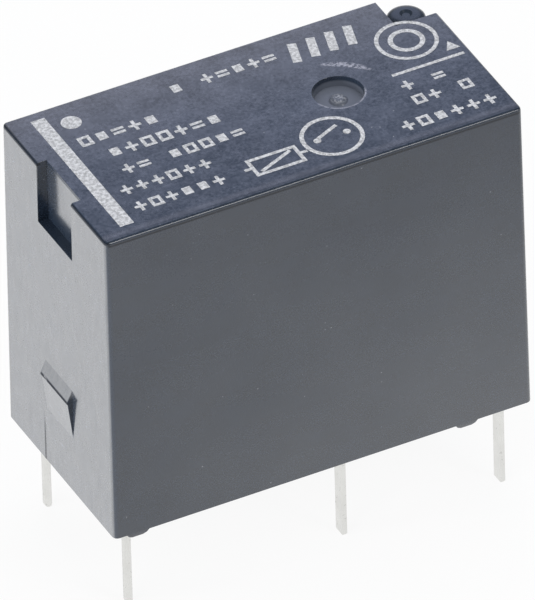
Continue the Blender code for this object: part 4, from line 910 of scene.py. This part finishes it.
class RELAY_OT_case_print(bpy.types.Operator):
    """Print the top with plain bars, rings, a coil symbol and a contact symbol"""

    bl_idname = "relay.case_print"
    bl_label = "Case print"

    def execute(self, context):
        look = context.scene.relay_case
        ink = ink_finish(look)
        low, high = TOP - PRINT_DEPTH, TOP + look.ink_height
        shape = bmesh.new()
        self.add_marks(shape, low, high)
        marks = bpy.data.meshes.new("case_marks")
        shape.to_mesh(marks)
        shape.free()
        new_piece("case_marks", marks, "frame", ink)
        new_piece("case_rows", self.rows(ink, high), "frame", ink)
        return {"FINISHED"}

    def add_marks(self, shape, low, high):
        """Add the bar, the disc, the line, the triangle, the symbols, the rings and the slanted blocks."""
        left, right, front, back = -8.8 * MM, -8.15 * MM, -4.1 * MM, 4.3 * MM
        slab(shape, [(left, front), (right, front), (right, back), (left, back)], low, high)
        slab(shape, disc_outline((-7.3 * MM, 3.45 * MM), 0.45 * MM), low, high)
        line_start, line_end = (6.1 * MM, -0.2 * MM), (9.55 * MM, -0.2 * MM)
        stroke(shape, line_start, line_end, STROKE_WIDTH, low, high)
        slab(shape, [(8.95 * MM, 0.25 * MM), (9.6 * MM, 0.25 * MM), (9.28 * MM, 0.85 * MM)], low, high)
        self.add_contact(shape, (1.92 * MM, -2.75 * MM), low, high)
        self.add_coil(shape, (-0.95 * MM, -3.15 * MM), low, high)

        rings_middle = (7.8 * MM, 1.75 * MM)
        for outer, inner in ((1.38 * MM, 1.2 * MM), (0.8 * MM, 0.58 * MM)):
            ring(shape, rings_middle, outer, inner, low, high)

        foot_y, head_y, slant, block_width, block_step = 2.6 * MM, 3.9 * MM, 0.35 * MM, 0.4 * MM, 0.88 * MM
        for index in range(4):
            foot_x = 3.05 * MM + index * block_step
            stroke(shape, (foot_x, foot_y), (foot_x + slant, head_y), block_width, low, high)

    def add_contact(self, shape, middle, low, high):
        """Add the contact symbol: a ring with two dots and an open blade."""
        ring(shape, middle, 1.39 * MM, 1.2 * MM, low, high)
        dot_reach, dot_radius, dot_steps = 0.7 * MM, 0.17 * MM, 16
        for side in (-1.0, 1.0):
            dot = (middle[0] + side * dot_reach, middle[1])
            slab(shape, disc_outline(dot, dot_radius, dot_steps), low, high)
        heel = (middle[0] - 0.62 * MM, middle[1] + 0.12 * MM)
        tip = (middle[0] + 0.5 * MM, middle[1] + 0.62 * MM)
        stroke(shape, heel, tip, STROKE_WIDTH, low, high)

    def add_coil(self, shape, middle, low, high):
        """Add the coil symbol: a box with a slash across it and a lead at each end."""
        half_x, half_y, lead_length = 1.1 * MM, 0.62 * MM, 0.3 * MM
        for side in (-1.0, 1.0):
            end = middle[0] + side * half_x
            stroke(shape, (end, middle[1] - half_y), (end, middle[1] + half_y), STROKE_WIDTH, low, high)
            rail = middle[1] + side * (half_y - STROKE_WIDTH / 2.0)
            inner = half_x - STROKE_WIDTH / 2.0
            stroke(shape, (middle[0] - inner, rail), (middle[0] + inner, rail), STROKE_WIDTH, low, high)
            lead = end + side * STROKE_WIDTH / 2.0
            lead_end = (lead + side * lead_length, middle[1])
            stroke(shape, (lead, middle[1]), lead_end, STROKE_WIDTH, low, high)
        slash_x, slash_y = half_x - 1.5 * STROKE_WIDTH, half_y - 1.5 * STROKE_WIDTH
        slash_start = (middle[0] - slash_x, middle[1] - slash_y)
        slash_end = (middle[0] + slash_x, middle[1] + slash_y)
        stroke(shape, slash_start, slash_end, STROKE_WIDTH, low, high)

    def rows(self, ink, high):
        """The mesh of the rows of signs."""
        # The start in x, the middle in y and the length of each row, in millimetres, and its scale
        rows = (
            (-7.75, 1.98, 4.9, 1.05), (-7.75, 0.72, 7.0, 1.05), (-7.75, -0.6, 6.4, 1.0),
            (-7.75, -1.9, 4.6, 1.0), (-7.75, -3.2, 4.5, 1.0), (-2.7, 3.45, 5.0, 1.0),
            (6.0, -1.1, 2.9, 1.0), (6.0, -2.2, 3.6, 1.0), (4.7, -3.65, 4.7, 1.05),
        )
        tree = signs_tree()
        shape = bmesh.new()
        for seed, (start, middle, length, scale) in enumerate(rows, 1):
            step = SIGN_STEP * scale
            mesh = grown("row", tree, {
                "Count": round(length * MM / step), "Scale": scale, "Seed": seed, "Finish": ink,
                "Start": (start * MM + step / 2.0, middle * MM, high - PRINT_DEPTH / 2.0),
                "Step": (step, 0.0, 0.0)})
            shape.from_mesh(mesh)
            bpy.data.meshes.remove(mesh)
        joined = bpy.data.meshes.new("case_rows")
        shape.to_mesh(joined)
        shape.free()
        return joined


class RELAY_OT_pins(bpy.types.Operator):
    """Give the coil pins and the contact terminals their tin"""

    bl_idname = "relay.pins"
    bl_label = "Pins and terminals"

    def execute(self, context):
        tin = metal_finish("tinned pin", (0.82, 0.82, 0.8), (0.62, 0.62, 0.6), 0.3, (1.0, 1.0, 0.08))
        for name in ("common_terminal", "open_terminal"):
            dress(name, tin)
        look = context.scene.relay_case
        for name in ("coil_pin_front", "coil_pin_back"):
            rounded = name + "_rounded"
            mesh = domed_bar(rounded, *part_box(name), look.pin_round)
            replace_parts(new_piece(rounded, mesh, "frame", tin), name)
        return {"FINISHED"}


class RELAY_OT_base(bpy.types.Operator):
    """Give the base, its seal and the card their plastics"""

    bl_idname = "relay.base"
    bl_label = "Base and card"

    def execute(self, context):
        dress("base", plain_plastic("base plastic", (0.04, 0.042, 0.046), 0.5, 0.08 * MM, 0.006 * MM))
        dress("sealing_resin", resin_finish())
        dress("actuator_card", plain_plastic("card plastic", (0.62, 0.6, 0.53), 0.45, 0.06 * MM, 0.004 * MM))
        return {"FINISHED"}


class RELAY_OT_coil(bpy.types.Operator):
    """Wind the coil turn by turn, and dress the bobbin, the tape and the leads"""

    bl_idname = "relay.coil"
    bl_label = "Coil"

    def execute(self, context):
        look = context.scene.relay_coil
        wire = wire_finish(look.wire_colour)
        dress("bobbin", plain_plastic("bobbin plastic", (0.6, 0.58, 0.48), 0.48, 0.07 * MM, 0.005 * MM))
        dress("coil_tape", tape_finish())
        dress("coil_lead_front", wire)
        dress("coil_lead_back", wire)
        low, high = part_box("coil_winding")
        middle = (low + high) / 2.0
        radius = look.wire_diameter / 2.0
        step = look.wire_diameter * TURN_STEP
        turns = int((high.z - low.z - look.wire_diameter) / step) + 1
        mesh = grown("turns", turns_tree(), {
            "Turns": turns, "Wire Radius": radius, "Coil Radius": (high.x - low.x) / 2.0 - radius,
            "Start": (middle.x, middle.y, low.z + radius), "Step": (0.0, 0.0, step), "Finish": wire})
        shape = bmesh.new()
        shape.from_mesh(mesh)
        self.add_core(shape, middle, low, high, look.wire_diameter)
        shape.to_mesh(mesh)
        shape.free()
        smooth_by_angle(mesh, CREASE)
        winding = new_piece("winding_turns", mesh, "frame", wire)
        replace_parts(winding, "coil_winding")
        return {"FINISHED"}

    def add_core(self, shape, middle, low, high, wire):
        """Fill the winding behind its outer layer with the layers below it."""
        outer = (high.x - low.x) / 2.0 - wire * 0.75
        inner = outer - LAYERS_DEPTH
        ring(shape, (middle.x, middle.y), outer, inner, low.z + wire * 0.5, high.z - wire * 0.5, 64)


class RELAY_OT_iron(bpy.types.Operator):
    """Plate the core, the yoke and the armature"""

    bl_idname = "relay.iron"
    bl_label = "Iron"

    def execute(self, context):
        plate = metal_finish("plated iron", (0.62, 0.62, 0.63), (0.44, 0.44, 0.45), 0.36, (0.1, 1.0, 1.0))
        for name in ("core", "yoke", "armature"):
            dress(name, plate)
        return {"FINISHED"}


class RELAY_OT_springs(bpy.types.Operator):
    """Dress the springs, the contacts and the rivets"""

    bl_idname = "relay.springs"
    bl_label = "Springs and contacts"

    def execute(self, context):
        bronze = metal_finish("rolled bronze", (0.72, 0.5, 0.27), (0.5, 0.32, 0.16), 0.28, (1.0, 1.0, 0.06))
        silver = metal_finish("contact silver", (0.88, 0.87, 0.85), (0.7, 0.68, 0.64), 0.22, (1.0, 1.0, 1.0))
        steel = metal_finish("rivet steel", (0.66, 0.66, 0.66), (0.48, 0.48, 0.48), 0.34, (1.0, 1.0, 1.0))
        finishes = {
            bronze: ("hinge_spring", "moving_spring"),
            silver: ("moving_contact", "fixed_contact"),
            steel: ("hinge_rivet", "spring_rivet_front", "spring_rivet_back"),
        }
        for finish, names in finishes.items():
            for name in names:
                dress(name, finish)
        return {"FINISHED"}


class RELAY_OT_studio(bpy.types.Operator):
    """Set the floor, the lights, the room and the camera"""

    bl_idname = "relay.studio"
    bl_label = "Studio"

    def execute(self, context):
        studio = context.scene.relay_studio
        self.floor(studio)
        self.room(context.scene, studio)
        self.soft_light("key", (-0.42, -0.22, 0.42), 0.34, studio.key_power)
        self.soft_light("overhead", (0.1, 0.12, 0.55), 0.4, studio.fill_power)
        self.soft_light("end light", (-0.6, 0.06, 0.03), 0.3, studio.end_power)
        self.soft_light("strip", (0.21, -0.41, 0.37), 0.2, studio.strip_power, mirrored=True)
        self.soft_light("panel", (0.19, 0.39, 0.33), 0.5, studio.panel_power, studio.panel_colour, True)
        self.camera(context.scene)
        return {"FINISHED"}

    def floor(self, studio):
        """Lay the floor, three metres wide, under the pin tips."""
        half = 1.5
        mesh = bpy.data.meshes.new("studio_floor")
        shape = bmesh.new()
        corners = [shape.verts.new((x, y, 0.0)) for x, y in
                   ((-half, -half), (half, -half), (half, half), (-half, half))]
        shape.faces.new(corners)
        shape.to_mesh(mesh)
        shape.free()
        made = bpy.data.objects.new("studio_floor", mesh)
        bpy.context.scene.collection.objects.link(made)
        mesh.materials.append(floor_finish(studio))

    def room(self, scene, studio):
        """Light the part from all round, with white below the horizon as the floor has."""
        world = bpy.data.worlds.new("studio room")
        scene.world = world
        world.use_nodes = True
        world.node_tree.nodes.clear()
        graph = Graph(world.node_tree)
        direction = graph.node("ShaderNodeTexCoord", out="Generated")
        height = graph.axes(direction)[2]
        ceiling = tuple(c * studio.sky_strength for c in studio.sky_colour)
        tone = graph.blend(height.over(0.04, 0.04), (1.0, 1.0, 1.0), ceiling)
        sky = graph.node("ShaderNodeBackground", None, {"Color": tone, "Strength": 1.0})
        graph.node("ShaderNodeOutputWorld", None, {"Surface": sky})

    def soft_light(self, name, place, size, power, colour=(1.0, 1.0, 1.0), mirrored=False):
        """Hang a round soft lamp that faces the part. Gloss shows it only if it is to be mirrored."""
        data = bpy.data.lights.new(name, "AREA")
        data.shape = "DISK"
        data.size = size
        data.energy = power
        data.color = colour
        lamp = bpy.data.objects.new(name, data)
        lamp.location = place
        lamp.visible_glossy = mirrored
        lamp.rotation_euler = (-Vector(place)).to_track_quat("-Z", "Y").to_euler()
        bpy.context.scene.collection.objects.link(lamp)

    def camera(self, scene):
        """Repeat the photograph's view: azimuth, elevation, roll and the shift across the picture."""
        azimuth, elevation, roll = CAMERA_AZIMUTH, CAMERA_ELEVATION, CAMERA_ROLL
        back = Vector((math.sin(azimuth) * math.cos(elevation), -math.cos(azimuth) * math.cos(elevation),
                       math.sin(elevation)))
        level = Vector((0.0, 0.0, 1.0)).cross(back).normalized()
        rise = back.cross(level).normalized()
        right = level * math.cos(roll) + rise * math.sin(roll)
        up = rise * math.cos(roll) - level * math.sin(roll)
        data = bpy.data.cameras.new("camera")
        data.lens = CAMERA_LENS
        data.sensor_width = SENSOR
        data.clip_start = 0.1
        data.clip_end = 10.0
        camera = bpy.data.objects.new("camera", data)
        scene.collection.objects.link(camera)
        aim = Vector((0.0, 0.0, SEAT)) + right * CAMERA_RIGHT + up * CAMERA_UP
        camera.matrix_world = axes_matrix(right, up, back, aim + back * CAMERA_DISTANCE)
        scene.camera = camera
        scene.view_settings.view_transform = "Standard"


def axes_matrix(right, up, back, place):
    """The matrix of an object from its three axes and its place."""
    columns = Matrix((right, up, back)).transposed().to_4x4()
    columns.translation = place
    return columns


class RELAY_PT_looks(bpy.types.Panel):
    """Lists the steps and their settings"""

    bl_label = "Relay looks"
    bl_idname = "RELAY_PT_looks"
    bl_space_type = "VIEW_3D"
    bl_region_type = "UI"
    bl_category = "Relay"

    def draw(self, context):
        for operator in OPERATORS:
            self.layout.operator(operator.bl_idname)
        for group in (context.scene.relay_case, context.scene.relay_coil, context.scene.relay_studio):
            box = self.layout.box()
            for name in group.__annotations__:
                box.prop(group, name)


OPERATORS = (
    RELAY_OT_case_shell, RELAY_OT_case_print, RELAY_OT_pins, RELAY_OT_base, RELAY_OT_coil, RELAY_OT_iron,
    RELAY_OT_springs, RELAY_OT_studio,
)
GROUPS = (RelayCaseLook, RelayCoilLook, RelayStudio)


def register():
    for made in (*GROUPS, *OPERATORS, RELAY_PT_looks):
        bpy.utils.register_class(made)
    bpy.types.Scene.relay_case = bpy.props.PointerProperty(type=RelayCaseLook)
    bpy.types.Scene.relay_coil = bpy.props.PointerProperty(type=RelayCoilLook)
    bpy.types.Scene.relay_studio = bpy.props.PointerProperty(type=RelayStudio)


def unregister():
    del bpy.types.Scene.relay_studio
    del bpy.types.Scene.relay_coil
    del bpy.types.Scene.relay_case
    for made in reversed((*GROUPS, *OPERATORS, RELAY_PT_looks)):
        bpy.utils.unregister_class(made)


def main():
    register()
    bpy.ops.relay.case_shell()
    bpy.ops.relay.case_print()
    bpy.ops.relay.pins()
    bpy.ops.relay.base()
    bpy.ops.relay.coil()
    bpy.ops.relay.iron()
    bpy.ops.relay.springs()
    bpy.ops.relay.studio()


if __name__ == "__main__":
    main()
